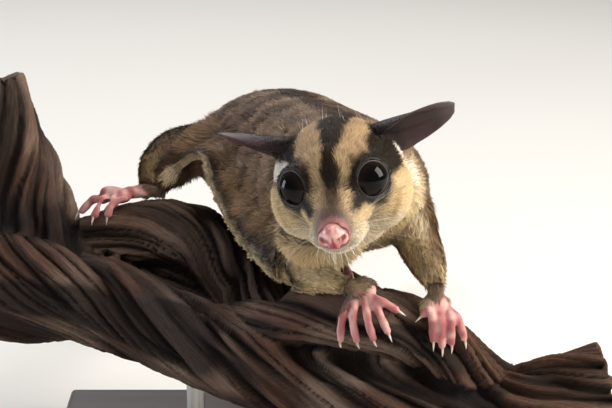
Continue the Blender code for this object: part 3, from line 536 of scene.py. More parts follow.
def grasping_hand(name):
    """A wrist, a palm and slender knuckled digits laid over the vine, joined in one mesh."""
    wrist, knuckles, _, _, radius, palm = HANDS[name]
    forward, across = hand_ways(name)
    turn = Matrix((across, across.cross(forward), forward)).transposed()
    middle, _ = settled(Vector(knuckles) - forward * palm[2] * PALM_BEHIND, palm[1] + VINE_GAP)
    pieces = [tube(name, [Vector(wrist), (Vector(wrist) + middle) / 2, middle], (2.3, 2.1, 1.9))]
    bpy.ops.mesh.primitive_uv_sphere_add(segments=24, ring_count=16, radius=1.0)
    ball = bpy.context.object
    shape = Matrix.Diagonal(Vector(palm) * PALM_SHARE * MM).to_4x4()
    ball.data.transform(Matrix.Translation(middle * MM) @ turn.to_4x4() @ shape)
    pieces.append(ball)
    for digit in DIGITS[name]:
        path, _, _ = digit_path(name, digit)
        line = [middle.lerp(path[0], 0.45), *path]
        radii = [radius * 0.8, *(radius * share for share in DIGIT_TAPER)]
        pieces.append(tube("digit", line, radii, sides=16))
        bpy.ops.mesh.primitive_uv_sphere_add(
            segments=16, ring_count=10, radius=radius * PAD_SHARE * MM, location=path[-1] * MM
        )
        pieces.append(settle_in_mesh(bpy.context.object))
    bpy.ops.object.select_all(action="DESELECT")
    for piece in pieces:
        piece.select_set(True)
    bpy.context.view_layer.objects.active = pieces[0]
    bpy.ops.object.join()
    return bpy.context.object


print("a hand is a wrist, a palm and", len(DIGITS["hand_left"]), "digits")

# %% [markdown]
# ## Fusing the skin
#
# A voxel remesh welds what overlaps, so the copies are first swollen by a fifth of a millimetre to meet
# across the gaps between them. Then loose folds are pressed in the flank, where the slack membrane is
# drawn up. Noise stretched from top to bottom gives them, and the same function later paints shade into them.

# %% Fuse the parts into one skin
FURROW_DEPTH = 1.3


def furrows(points, width):
    """How deep each place on the right flank lies in a loose fold, 0 to 1, for furrows this wide."""
    x, y, z = points.T
    loose = smoothstep(12.0, 2.0, x + 0.25 * (y + 30)) * smoothstep(-46.0, -30.0, y)
    loose *= smoothstep(24.0, 8.0, y) * smoothstep(114.0, 100.0, z)
    swing = y * 0.75 + z * 0.18 + 3.0 * noise(points / 12.0, 91)
    fold = np.abs(noise(np.stack([swing / 3.6, z / 22.0, x / 30.0], axis=1), 92) * 2 - 1)
    return loose * smoothstep(width, 0.0, fold)


def flesh_of(name):
    if name in EARS:
        return ear_leaf(name)
    return grasping_hand(name) if name in HANDS else node_copy(name)


flesh = [flesh_of(name) for name in FLESH]
owner_bits = []
for name, part in zip(FLESH, flesh):
    part_points = points_of(part.data)
    if name not in HANDS:
        set_points(part.data, part_points + normals_of(part.data) * SWELL)
    owner_bits.append((name, [v.co.copy() for v in part.data.vertices], part.data.polygons))

owner_places, owner_faces, owner_names = [], [], []
for name, places, polygons in owner_bits:
    start = len(owner_places)
    owner_places.extend(places)
    owner_faces.extend([[start + v for v in polygon.vertices] for polygon in polygons])
    owner_names.extend([name] * len(polygons))
tail_flesh = tube("tail_flesh", TAIL_LINE, TAIL_FUR * TAIL_FLESH_SHARE)
start = len(owner_places)
owner_places.extend(v.co.copy() for v in tail_flesh.data.vertices)
owner_faces.extend([[start + v for v in polygon.vertices] for polygon in tail_flesh.data.polygons])
owner_names.extend(["tail"] * len(tail_flesh.data.polygons))
owner_tree = BVHTree.FromPolygons(owner_places, owner_faces)

bpy.ops.object.select_all(action="DESELECT")
for part in (*flesh, tail_flesh):
    part.select_set(True)
bpy.context.view_layer.objects.active = flesh[0]
bpy.ops.object.join()
skin = bpy.context.object
skin.name = skin.data.name = "skin"
remesh = skin.modifiers.new("Fuse", "REMESH")
remesh.mode = "VOXEL"
remesh.voxel_size = SKIN_VOXEL
soften = skin.modifiers.new("Soften", "SMOOTH")
soften.factor = 0.5
soften.iterations = 5
apply_modifiers(skin)
thin = skin.modifiers.new("Thin", "DECIMATE")
thin.ratio = SKIN_FACES / (2 * len(skin.data.polygons))
skin.modifiers.new("Triangles", "TRIANGULATE")
apply_modifiers(skin)
flank = points_of(skin.data)
set_points(skin.data, flank - normals_of(skin.data) * (FURROW_DEPTH * furrows(flank, 0.35))[:, None])
skin.data.shade_smooth()
print("skin:", len(skin.data.vertices), "points,", len(skin.data.polygons), "faces")

# %% [markdown]
# ## Which part each bit of skin belongs to
#
# Depth of coat, length of hair and colour depend on the place. Each point of the skin looks up the part
# it came from, and the values are then smoothed over the mesh, so that one coat runs into the next.

# %% Label the skin and draw it in by the coat's depth
COAT_DEPTH = {
    "torso": 1.5,
    "neck": 1.4,
    "head": 0.6,
    "arm": 1.0,
    "leg": 1.2,
    "membrane": 0.75,
    "tail": 0.0,
    "hand": 0.0,
    "foot": 0.0,
    "ear": SWELL,
}
KINDS = list(COAT_DEPTH)


def kind_of(name):
    return name.split("_")[0]


def of_kind(kinds, *wanted):
    """Which of the kinds of part, given by number, are among the wanted ones."""
    return np.isin(kinds, [KINDS.index(kind) for kind in wanted])


def edges_of(mesh):
    pairs = np.empty(len(mesh.edges) * 2, np.int64)
    mesh.edges.foreach_get("vertices", pairs)
    return pairs.reshape(-1, 2)


def spread_out(values, pairs, rounds):
    """Averages values over neighbouring points of a mesh, several times."""
    values = np.array(values, float)
    flat = values.reshape(len(values), -1)
    count = np.bincount(pairs.ravel(), minlength=len(flat)).astype(float)
    for _ in range(rounds):
        total = np.zeros_like(flat)
        for column in range(flat.shape[1]):
            total[:, column] += np.bincount(pairs[:, 0], flat[pairs[:, 1], column], len(flat))
            total[:, column] += np.bincount(pairs[:, 1], flat[pairs[:, 0], column], len(flat))
        flat = 0.4 * flat + 0.6 * total / np.maximum(count, 1)[:, None]
    return flat.reshape(values.shape)


def owners(places):
    """The name of the part nearest to each place."""
    return [owner_names[owner_tree.find_nearest(Vector(place) * MM)[2]] for place in places]


places = points_of(skin.data)
skin_pairs = edges_of(skin.data)
skin_owner = np.array(owners(places))
skin_kind = np.array([KINDS.index(kind_of(name)) for name in skin_owner])
local = in_head(places)
rim = np.full(len(places), 99.0)
for side in (-1, 1):
    gap = np.linalg.norm(local - mirrored(side, EYE_PLACE), axis=1) - EYE_RADIUS - 0.6
    rim = np.minimum(rim, gap)
nose_gap = np.linalg.norm(local - NOSE_PLACE, axis=1) - 3.4
depth = np.array([COAT_DEPTH[kind] for kind in KINDS])[skin_kind]
face_bare = smoothstep(0.0, 3.0, np.minimum(rim, nose_gap))
depth = spread_out(depth, skin_pairs, 25)
depth *= 0.25 + 0.75 * face_bare
places = places - normals_of(skin.data) * depth[:, None]
set_points(skin.data, places)
settle = skin.modifiers.new("Settle", "SMOOTH")
settle.factor = 0.3
settle.iterations = 2
apply_modifiers(skin)
print("coat depth in mm: least", round(float(depth.min()), 2), "most", round(float(depth.max()), 2))

# %% [markdown]
# ## Markings
#
# One function gives the colour of the fur at any place: a cream face with a dark stripe from the brow
# down the back, dark rings round the eyes that run to the ears, pale cheeks and throat, a grey-brown back,
# membranes with a dark band and a cream fringe, and a tail that darkens to its tip. The skin and every
# tuft ask this same function, so they always agree.

# %% Colours and lines of the markings
CREAM = linear("D2B98C")
CROWN = linear("B89A76")
WHITE = linear("E2DACA")
STRIPE = linear("1E130F")
RING = linear("0B0706")
MUZZLE = linear("715753")
BACK = linear("7B6653")
BACK_DARK = linear("47382C")
BACK_LIGHT = linear("9C836A")
WARM = linear("9A744C")
BELLY = linear("C2AE88")
BAND = linear("35291F")
FRINGE = linear("CDB893")
KNEE = linear("6A5B4C")
SHIN = linear("8C7553")
TAIL_ROOT = linear("75614F")
TAIL_TIP = linear("241D19")
PINK = linear("C28783")
EAR = linear("271816")

# Places on the head, in its own frame, and lines of dark fur on the neck and flanks, in mm
STRIPE_ROWS = (-23.0, -17.0, -10.0, -3.0, 3.0, 8.0, 16.0)
STRIPE_HALF = (0.5, 1.3, 1.8, 2.7, 3.9, 4.5, 4.4)
TUFT_RIGHT = ((-12.2, -4.0, 5.6), (-14.4, 2.5, 2.2))
TUFT_LEFT = ((15.2, 5.0, 3.6), (16.0, 12.0, -3.0))
LINE_RIGHT = np.array(((-3.5, -8.0, 88.0), (-3.0, -16.0, 79.0), (-0.5, -29.0, 74.3), (6.5, -38.5, 69.5)))
LINE_LEFT = np.array(((36.8, -24.0, 103.0), (37.2, -31.0, 96.0), (41.0, -27.5, 86.0), (42.0, -38.0, 79.5)))


def mixed(base, other, share):
    return base + (np.array(other) - base) * share[:, None]


def flat_tone(tone, points):
    return np.tile(np.array(tone), (len(points), 1))


def capsule(points, first, second, start, end):
    """Distance to a thick line whose radius runs from start to end, less than nought inside."""
    first, second = np.array(first, float), np.array(second, float)
    span = second - first
    t = np.clip((points - first) @ span / (span @ span), 0.0, 1.0)
    gap = np.linalg.norm(points - first - t[:, None] * span, axis=1)
    return gap - (start + (end - start) * t)


print("stripe half widths from", min(STRIPE_HALF), "to", max(STRIPE_HALF), "mm")

# %% Colour of the head


def head_colours(points, normals):
    q = in_head(points)
    up = normals @ HEAD_AXES[:, 2]
    wobble = noise(points / 2.2, 5) - 0.5
    wide = noise(points / 5.0, 6) - 0.5
    found = flat_tone(CROWN, points)
    found = mixed(found, BACK, 0.35 * smoothstep(0.1, 0.35, wide))
    found = mixed(found, CREAM, smoothstep(4.0, -2.0, q[:, 2] + 2.0 * wide))
    brow = smoothstep(5.0, 2.0, np.abs(q[:, 0])) * smoothstep(-7.0, -14.0, q[:, 1])
    found = mixed(found, CREAM, 0.6 * brow)
    found = mixed(found, WHITE, 0.4 * smoothstep(-6.0, -10.0, q[:, 2] + 0.2 * q[:, 1]))
    one_side = q * (np.sign(q[:, :1]) * (1, 0, 0) + (0, 1, 1))
    fold = capsule(one_side, (15.0, -6.0, -1.0), (11.0, -9.5, -9.5), 0.2, 0.2)
    found = mixed(found, WARM, 0.55 * smoothstep(1.3, 0.1, fold + 0.5 * wobble))
    nape = smoothstep(13.0, 17.0, q[:, 1] + 0.3 * q[:, 2]) * smoothstep(-9.0, -4.0, q[:, 2])
    found = mixed(found, BACK, nape)
    for side in (-1, 1):
        eye = mirrored(side, EYE_PLACE)
        ring = capsule(q, eye, eye + 0.2 * eye_axis(side), EYE_RADIUS + 1.5, EYE_RADIUS + 1.5)
        inner = capsule(q, mirrored(side, (6.9, -13.0, 1.2)), mirrored(side, (4.4, -18.2, -0.8)), 2.2, 0.7)
        outer = capsule(q, mirrored(side, (10.6, -5.0, 5.6)), mirrored(side, EAR_ROOT), 3.8, 5.4)
        lower = capsule(q, mirrored(side, (12.4, -4.0, 4.6)), mirrored(side, (13.6, 0.5, 4.5)), 3.2, 2.6)
        dark = np.minimum(np.minimum(ring, inner), np.minimum(outer, lower)) + 1.5 * wobble
        found = mixed(found, RING, 0.97 * smoothstep(1.5, -0.6, dark))
    for first, second in (TUFT_RIGHT, TUFT_LEFT):
        tuft = capsule(q, first, second, 2.0, 2.6) + 0.8 * wobble
        found = mixed(found, BAND, 0.75 * smoothstep(1.9, 0.9, tuft) * (q[:, 1] > second[1] - 4.0))
        found = mixed(found, WHITE, 0.95 * smoothstep(0.7, -0.4, tuft))
    snout = np.linalg.norm(q - np.array((0.0, -23.8, -1.8)), axis=1)
    found = mixed(found, MUZZLE, 0.85 * smoothstep(7.5, 3.6, snout) * smoothstep(-5.8, -4.4, q[:, 2]))
    bridge = np.hypot(q[:, 0] * 1.4, np.maximum(0.0, np.abs(q[:, 1] + 18.5) - 2.5) * 0.8)
    found = mixed(found, MUZZLE, 0.6 * smoothstep(5.0, 1.5, bridge) * smoothstep(-0.2, 0.4, up))
    half = np.interp(q[:, 1], STRIPE_ROWS, STRIPE_HALF)
    stripe = smoothstep(0.8, -0.7, np.abs(q[:, 0] + 0.7 * wobble - 0.2) - half) * smoothstep(-0.3, 0.2, up)
    stripe *= np.interp(q[:, 1], (-22.0, -18.5, -14.0, 20.0), (0.0, 0.55, 0.97, 0.97))
    found = mixed(found, STRIPE, stripe)
    by_nose = np.linalg.norm((q - NOSE_PLACE) * (0.9, 1.0, 0.9), axis=1)
    found = mixed(found, linear("A4736F"), 0.8 * smoothstep(5.4, 3.4, by_nose))
    chin = smoothstep(-6.8, -7.8, q[:, 2]) * smoothstep(-13.0, -17.0, q[:, 1])
    return mixed(found, WHITE, 0.75 * chin)


# %% Colour of the body


def body_colours(points, normals):
    gap, run, share = along_line(points, SPINE)
    level = np.stack([np.interp(share, np.linspace(0, 1, len(SPINE)), SPINE[:, c]) for c in range(3)], axis=1)
    side = unit(np.cross(run, (0.0, 0.0, 1.0)))
    lateral = np.abs(np.sum((points - level) * side, axis=1))
    along = share * 140.0
    warp = 3.0 * (noise(points / 9.0, 15) - 0.5) + 1.2 * (noise(points / 3.5, 16) - 0.5)
    waves = np.stack([along / 5.0 + warp, lateral / 11.0 + 0.5 * warp, points[:, 2] / 11.0], axis=1)
    streak = noise(waves, 11) * 0.6 + noise(waves * 2.3, 12) * 0.4
    fleck = noise(points / 1.4, 13)
    found = flat_tone(BACK, points)
    found = mixed(found, BACK_DARK, 0.85 * smoothstep(0.5, 0.26, streak))
    found = mixed(found, BACK_LIGHT, 0.85 * smoothstep(0.5, 0.74, streak))
    found = mixed(found, BACK_DARK, 0.35 * smoothstep(0.6, 0.9, fleck))
    found = mixed(found, WARM, 0.35 * smoothstep(98.0, 82.0, points[:, 2]))
    found = mixed(found, STRIPE, 0.8 * smoothstep(5.0, 2.0, lateral + 1.6 * (streak - 0.5)) * (gap < 14.0))
    found = mixed(found, BELLY, 0.9 * smoothstep(-0.35, -0.75, normals[:, 2]))
    right_side = (points[:, 0] - 0.5 + 0.25 * (points[:, 1] + 30.0)) / 3.0
    left_side = (41.0 - points[:, 0]) / 2.0
    front = smoothstep(-25.0, -31.0, points[:, 1]) * smoothstep(104.0, 97.0, points[:, 2])
    front *= smoothstep(-0.5, 0.5, right_side) * smoothstep(0.0, 1.0, left_side)
    found = mixed(found, CREAM, 0.95 * front)
    found = mixed(found, WHITE, 0.3 * front * smoothstep(0.5, 0.8, noise(points / 5.0, 14)))
    behind = capsule(points, (33.0, -42.0, 104.0), (34.5, -33.5, 99.0), 2.5, 3.2)
    found = mixed(found, WHITE, 0.9 * smoothstep(0.8, -0.6, behind))
    # Painted shade in the loose folds of the flank: darker where the folds are pressed in.
    found = mixed(found, BACK_DARK, 0.7 * furrows(points, 0.4))
    for line in (LINE_RIGHT, LINE_LEFT):
        found = mixed(found, BAND, 0.8 * smoothstep(2.2, 0.7, along_line(points, line)[0] + streak))
    return found


# %% Colour of all the fur


def fur_colours(points, normals, kinds):
    """The fur's colour at each place, given the kind of part that it grows on."""
    body = body_colours(points, normals)
    found = body.copy()
    near_head = in_head(points)
    head = of_kind(kinds, "head")
    blend = smoothstep(15.5, 12.0, near_head[:, 1])
    found[head] = mixed(body[head], head_colours(points[head], normals[head]), blend[head])
    edge = np.minimum(along_line(points, EDGE_RIGHT)[0], along_line(points, EDGE_LEFT)[0])
    wander = noise(points / 3.0, 3) - 0.5
    membrane = of_kind(kinds, "membrane", "torso")
    flank = mixed(body, WARM, 0.2 * smoothstep(14.0, 6.0, edge))
    flank = mixed(flank, BAND, 0.85 * smoothstep(6.5, 3.6, edge + 2.0 * wander))
    flank = mixed(flank, FRINGE, smoothstep(2.3, 1.6, edge + 0.5 * wander))
    found[membrane] = flank[membrane]
    limb_edge = mixed(found, FRINGE, 0.7 * smoothstep(1.6, 0.8, edge + 0.6 * wander))
    arm = of_kind(kinds, "arm")
    wrist = np.min([np.linalg.norm(points - w, axis=1) for w in WRISTS.values()], axis=0)
    fore = mixed(limb_edge, CREAM, 0.85 * smoothstep(17.0, 6.0, wrist))
    # Painted shade: the upward-facing top of the forearm near the wrist is darker.
    top = smoothstep(0.3, 0.8, normals[:, 2]) * smoothstep(24.0, 10.0, wrist)
    fore = mixed(fore, KNEE, 0.55 * top)
    found[arm] = fore[arm]
    cuffs = of_kind(kinds, "hand", "foot")
    pale = 0.6 * smoothstep(0.3, 0.7, noise(points / 4.0, 4))
    found[cuffs] = mixed(flat_tone(KNEE, points), CREAM, pale)[cuffs]
    leg = of_kind(kinds, "leg")
    shin = mixed(limb_edge, SHIN, 0.7 * smoothstep(22.0, 8.0, wrist))
    shin = mixed(shin, KNEE, 0.6 * smoothstep(12.0, 20.0, wrist))
    shin = mixed(shin, WARM, 0.6 * smoothstep(0.1, -0.5, normals[:, 2]))
    found[leg] = shin[leg]
    leaf = of_kind(kinds, "ear")
    found[leaf] = flat_tone(0.5 * np.array(RING) + 0.5 * np.array(EAR), points)[leaf]
    tail = of_kind(kinds, "tail")
    share = along_line(points, TAIL_LINE)[2]
    brush = mixed(flat_tone(TAIL_ROOT, points), TAIL_TIP, smoothstep(0.45, 0.95, share))
    brush = mixed(brush, BACK_LIGHT, 0.4 * smoothstep(0.6, 0.8, noise(points / 4.0, 21)))
    found[tail] = brush[tail]
    return found


skin_places = points_of(skin.data)
skin_normals = normals_of(skin.data)
skin_colour = fur_colours(skin_places, skin_normals, skin_kind)
print("mean fur colour, linear:", np.round(skin_colour.mean(axis=0), 3))

# %% [markdown]
# ## Bare skin and its colours
#
# Hands and feet are bare, pink and moist-looking, with redder and paler blotches. The ears are bare
# too, thin and purple-brown. Under the coat the hide is painted darker than the fur above it, as
# painted shade, so that gaps between tufts read as depth.

# %% The skin's colours and material
RED = linear("9A4F52")
PALE = linear("DCB8AF")
HIDE_PAINTED_SHADE = 0.5

hand = of_kind(skin_kind, "hand", "foot").astype(float)
ear = of_kind(skin_kind, "ear").astype(float)
by_nose = np.linalg.norm((in_head(skin_places) - NOSE_PLACE) * (0.9, 1.0, 0.9), axis=1)
shade_by_nose = 0.9 * smoothstep(5.0, 3.8, by_nose)
on_cuff = np.zeros(len(skin_places))
for name, (wrist, knuckles, *_) in HANDS.items():
    span = np.array(knuckles) - np.array(wrist)
    share = (skin_places - np.array(wrist)) @ span / (span @ span)
    reach = 0.75 if name.startswith("hand") else 0.3
    on_cuff = np.maximum(on_cuff, smoothstep(reach + 0.2, reach - 0.15, share) * (skin_owner == name))
hand_soft = spread_out(hand * (1 - on_cuff), skin_pairs, 6)
ear_soft = spread_out(ear, skin_pairs, 3)
# Painted shade: the hide under the coat is the fur's colour at half strength, so gaps between tufts look
# deep.
shade = skin_colour * HIDE_PAINTED_SHADE
shade = mixed(shade, linear("A06A68"), shade_by_nose)
blotch = noise(skin_places / 1.6, 31)
bare = mixed(flat_tone(PINK, skin_places), RED, 0.75 * smoothstep(0.45, 0.8, blotch))
bare = mixed(bare, PALE, 0.5 * smoothstep(0.5, 0.25, blotch))
shade = shade * (1 - hand_soft[:, None]) + bare * hand_soft[:, None]
ear_tone = mixed(flat_tone(EAR, skin_places), linear("4A302E"), 0.6 * blotch)
ear_local = in_head(skin_places)
ear_reach = smoothstep(24.0, 31.0, np.abs(ear_local[:, 0]))
ear_tone = mixed(ear_tone, linear("6E6266"), 0.5 * ear_reach)
ear_tone *= (0.25 + 0.75 * smoothstep(12.5, 19.0, np.abs(ear_local[:, 0])))[:, None]
shade = shade * (1 - ear_soft[:, None]) + ear_tone * ear_soft[:, None]


def colour_attribute(mesh, name, values):
    layer = mesh.attributes.new(name, "FLOAT_COLOR", "POINT")
    four = np.ones((len(values), 4), np.float32)
    four[:, :3] = np.clip(values, 0.0, 1.0)
    layer.data.foreach_set("color", four.ravel())


def value_attribute(mesh, name, values):
    layer = mesh.attributes.new(name, "FLOAT", "POINT")
    layer.data.foreach_set("value", np.asarray(values, np.float32))


colour_attribute(skin.data, "hide", shade)
value_attribute(skin.data, "bare", np.maximum(hand_soft, ear_soft))
hide, tree, shader = new_material("living_skin_under_fur")
tone = add_node(tree, "ShaderNodeAttribute", {"attribute_name": "hide"})
where = add_node(tree, "ShaderNodeTexCoord")
edge_only = {"feature": "DISTANCE_TO_EDGE"}
creases = add_node(tree, "ShaderNodeTexVoronoi", edge_only, Vector=where.outputs["Object"], Scale=1900.0)
lines = add_node(tree, "ShaderNodeMapRange", None, Value=creases.outputs["Distance"], From_Max=0.12)
bump = add_node(tree, "ShaderNodeBump", None, Height=lines.outputs["Result"], Strength=0.35, Distance=0.00012)
tree.links.new(tone.outputs["Color"], shader.inputs["Base Color"])
tree.links.new(bump.outputs["Normal"], shader.inputs["Normal"])
finish(
    shader,
    Roughness=0.48, IOR=1.4, Subsurface_Weight=0.12, Subsurface_Radius=(1.0, 0.35, 0.2),
    Subsurface_Scale=0.0012,
)
skin.data.materials.clear()
skin.data.materials.append(hide)
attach(skin, "root")
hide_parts(*FLESH, "tail_1", "tail_2", "tail_3")
print("skin dressed")

# %% [markdown]
# ## The lie of the coat
#
# Fur grows backwards: from the nose over the head, down the neck and back to the tail, along each limb
# to the wrist, and out to the edge of the membranes. A direction is worked out for every point of the
# skin, laid flat on it, and smoothed, so that partings only show where two streams of fur meet.

# %% Which way the fur lies
run = along_line(skin_places, SPINE)[1]
lie = run + np.array((0.0, 0.0, -0.35)) * smoothstep(0.9, 0.2, skin_normals[:, 2])[:, None]
head = of_kind(skin_kind, "head")
away = in_head(skin_places) - (NOSE_PLACE + np.array((0.0, -4.0, 1.0)))
away[:, 2] -= 0.25 * np.abs(away[:, 1])
lie[head] = unit(away[head]) @ HEAD_AXES.T
for name, wrist in WRISTS.items():
    limb = name.replace("hand", "arm").replace("foot", "leg")
    use = (skin_owner == limb) | (skin_owner == name)
    lie[use] = unit(wrist - skin_places[use])
    use = skin_owner == name
    lie[use] = unit(skin_places[use] - wrist)
for name, edge in (("membrane_right", EDGE_RIGHT), ("membrane_left", EDGE_LEFT)):
    use = skin_owner == name
    gap, edge_run, _ = along_line(skin_places[use], edge)
    outward = np.array((-0.6 if name.endswith("right") else 0.6, -0.1, -0.75))
    lie[use] = unit(0.8 * edge_run + 0.8 * outward)
tail = of_kind(skin_kind, "tail")
lie[tail] = along_line(skin_places[tail], TAIL_LINE)[1]
lie = unit(lie)
for _ in range(4):
    lie = spread_out(lie, skin_pairs, 8)
    lie = unit(lie - np.sum(lie * skin_normals, axis=1)[:, None] * skin_normals)
print("lie of the coat found for", len(lie), "points")

# %% [markdown]
# ## A flat map of the skin
#
# Each tuft needs a place on a flat map, so that its colour can be baked. A coarse copy of the skin is
# unwrapped once, and every tuft takes a tiny patch of the map at its own root.

# %% Unwrap a coarse copy of the skin
MAP_FACES = 7000
PATCH = 0.003

bpy.ops.object.select_all(action="DESELECT")
map_skin = skin.copy()
map_skin.data = skin.data.copy()
bpy.context.scene.collection.objects.link(map_skin)
thin = map_skin.modifiers.new("Thin", "DECIMATE")
thin.ratio = MAP_FACES / len(map_skin.data.polygons)
map_skin.modifiers.new("Triangles", "TRIANGULATE")
apply_modifiers(map_skin)
bpy.ops.object.mode_set(mode="EDIT")
bpy.ops.mesh.select_all(action="SELECT")
bpy.ops.uv.smart_project(angle_limit=math.radians(66.0), island_margin=0.004)
bpy.ops.object.mode_set(mode="OBJECT")
map_mesh = map_skin.data
map_points = points_of(map_mesh)
map_faces = np.empty(len(map_mesh.polygons) * 3, np.int64)
map_mesh.polygons.foreach_get("vertices", map_faces)
map_faces = map_faces.reshape(-1, 3)
map_uv = np.empty(len(map_mesh.loops) * 2, np.float32)
map_mesh.uv_layers[0].data.foreach_get("uv", map_uv)
map_uv = map_uv.reshape(-1, 3, 2)
map_tree = BVHTree.FromPolygons([Vector(p) for p in map_points], map_faces.tolist())
bpy.data.objects.remove(map_skin)
print("map of", len(map_faces), "faces")


def map_place(roots):
    """Each root's place on the flat map of the skin."""
    found = [map_tree.find_nearest(Vector(root)) for root in roots]
    face = np.array([f[2] for f in found])
    near = np.array([f[0] for f in found])
    a, b, c = (map_points[map_faces[face, corner]] for corner in range(3))
    first, second, third = b - a, c - a, near - a
    d00, d01, d11 = (np.sum(m * n, axis=1) for m, n in ((first, first), (first, second), (second, second)))
    d20, d21 = np.sum(third * first, axis=1), np.sum(third * second, axis=1)
    scale = np.maximum(d00 * d11 - d01 * d01, 1e-12)
    v = np.clip((d11 * d20 - d01 * d21) / scale, 0, 1)
    w = np.clip((d00 * d21 - d01 * d20) / scale, 0, 1)
    uv = map_uv[face]
    return uv[:, 0] * (1 - v - w)[:, None] + uv[:, 1] * v[:, None] + uv[:, 2] * w[:, None]


# %% [markdown]
# ## Tufts
#
# At this size single hairs are too fine to model, so a tuft stands for a few dozen of them: a thin blade
# that leaves the skin at a slant, bends over and tapers to a point. Blades are dealt out over the skin by
# area, each with its own small difference in length, lean and shade, and they follow the lie of the coat.

# %% Deal out blades over the skin
# Each row of a blade: its share of the length, its width, and its brightness, which is low at the root as
# painted shade deep in the coat and a little over the marking colour at the tip.
LONG_BLADE = ((0.0, 0.8, 0.4), (0.4, 1.0, 0.82), (0.75, 0.62, 1.0), (1.0, 0.0, 1.12))
SHORT_BLADE = ((0.0, 0.9, 0.5), (0.55, 0.85, 0.9), (1.0, 0.0, 1.1))

faces = np.empty(len(skin.data.polygons) * 3, np.int64)
skin.data.polygons.foreach_get("vertices", faces)
faces = faces.reshape(-1, 3)
corner = skin_places[faces]
face_area = np.linalg.norm(np.cross(corner[:, 1] - corner[:, 0], corner[:, 2] - corner[:, 0]), axis=1) / 2


def deal(density, seed):
    """Random places on the skin, this many a square millimetre: faces and shares of their corners."""
    draw = np.random.default_rng(seed)
    weight = face_area * density[faces].mean(axis=1)
    count = int(weight.sum())
    chosen = np.searchsorted(np.cumsum(weight), draw.random(count) * weight.sum())
    chosen = np.clip(chosen, 0, len(faces) - 1)
    first, second = draw.random(count), draw.random(count)
    over = first + second > 1
    first[over], second[over] = 1 - first[over], 1 - second[over]
    shares = np.stack([1 - first - second, first, second], axis=1)
    return chosen, shares, draw


def at_roots(values, chosen, shares):
    """A value of the skin's points, worked out at the roots."""
    picked = values[faces[chosen]]
    return np.einsum("nc,nc...->n...", shares, picked)


def coat(name, density, seed, blade=SHORT_BLADE, curl=0.12, clumping=0.8):
    """One piece of coat, this many tufts a square millimetre at each point of the skin."""
    chosen, shares, draw = deal(density, seed)
    root = at_roots(skin_places, chosen, shares)
    normal = unit(at_roots(skin_normals, chosen, shares))
    way = unit(at_roots(lie, chosen, shares))
    count = len(root)
    reach = at_roots(length, chosen, shares) * draw.uniform(0.7, 1.2, count)
    wide = at_roots(width, chosen, shares) * draw.uniform(0.8, 1.25, count)
    rise = at_roots(lift, chosen, shares) * draw.uniform(0.6, 1.4, count)
    across = np.cross(normal, way)
    clump = noise(root / 2.2, seed + 1) - 0.5
    turn = draw.normal(0.0, 0.16, count) + clumping * clump
    way = way * np.cos(turn)[:, None] + across * np.sin(turn)[:, None]
    across = np.cross(normal, way)
    roll = draw.normal(0.0, 0.35, count)
    flat = normal * np.sin(roll)[:, None] - across * np.cos(roll)[:, None]
    bend = draw.normal(0.0, curl, count)
    base = fur_colours(root, normal, skin_kind[faces[chosen, 0]])
    tint = 1.0 + draw.normal(0.0, 0.12, count) + 0.25 * (noise(root / 0.9, seed + 2) - 0.5)
    rows = 2 * len(blade) - 1
    places = np.empty((count, rows, 3))
    tone = np.empty((count, rows, 3))
    patch = np.empty((count, rows, 2))
    home = map_place(root)
    row = 0
    for share, size, dark in blade:
        up = reach * rise * share * (1.0 - 0.45 * share)
        middle = root - normal * 0.12 + way * (reach * share)[:, None] + normal * up[:, None]
        middle += across * (bend * reach * share * share)[:, None]
        half = flat * (wide * size / 2)[:, None]
        # Painted shade: each blade is darker towards its root, under the blades around it.
        shade = base * (dark * tint)[:, None]
        for side in (1,) if size == 0.0 else (-1, 1):
            places[:, row] = middle + side * half
            tone[:, row] = shade
            patch[:, row] = home + PATCH * np.array((side * 0.4 * (size > 0), share - 0.5))
            row += 1
    order = []
    for step in range(0, rows - 3, 2):
        order += [(step, step + 1, step + 3), (step, step + 3, step + 2)]
    order = np.array([*order, (rows - 3, rows - 2, rows - 1)])
    corners = (np.arange(count)[:, None, None] * rows + order[None]).reshape(-1)
    mesh = bpy.data.meshes.new(name)
    mesh.vertices.add(count * rows)
    mesh.vertices.foreach_set("co", (places.reshape(-1) * MM).astype(np.float32))
    triangles = count * len(order)
    mesh.loops.add(triangles * 3)
    mesh.loops.foreach_set("vertex_index", corners.astype(np.int32))
    mesh.polygons.add(triangles)
    mesh.polygons.foreach_set("loop_start", np.arange(0, triangles * 3, 3, dtype=np.int32))
    mesh.update(calc_edges=True)
    layer = mesh.uv_layers.new(name="OFBake")
    layer.data.foreach_set("uv", patch.reshape(-1, 2)[corners].astype(np.float32).ravel())
    colour_attribute(mesh, "fur", tone.reshape(-1, 3))
    mesh.shade_smooth()
    blade_normal = unit(np.cross(flat, way))
    soft = unit(0.6 * normal + 0.4 * blade_normal + draw.normal(0.0, 0.1, (count, 3)))
    mesh.normals_split_custom_set_from_vertices(np.repeat(soft, rows, axis=0).astype(np.float32))
    made = bpy.data.objects.new(name, mesh)
    bpy.context.scene.collection.objects.link(made)
    mesh.materials.append(fur)
    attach(made, "root")
    print(f"{name}: {count} tufts, {triangles} triangles")
    return made


fur, tree, shader = new_material("fur")
tone = add_node(tree, "ShaderNodeAttribute", {"attribute_name": "fur"})
tree.links.new(tone.outputs["Color"], shader.inputs["Base Color"])
finish(shader, Roughness=0.6, IOR=1.45, Specular_IOR_Level=0.12)

# %% [markdown]
# ## The coat, region by region
#
# Hair is shortest on the muzzle, fine and close on the face, longer on the back, and longest on the tail.
# The numbers are real lengths in millimetres, and the amounts are tufts to a square millimetre.

# %% Length, width and amount of fur


def per_kind(values, smoothing=10):
    """A value for each point of the skin from one for each kind of part, blended where parts meet."""
    return spread_out(np.array([values.get(kind, 0.0) for kind in KINDS])[skin_kind], skin_pairs, smoothing)


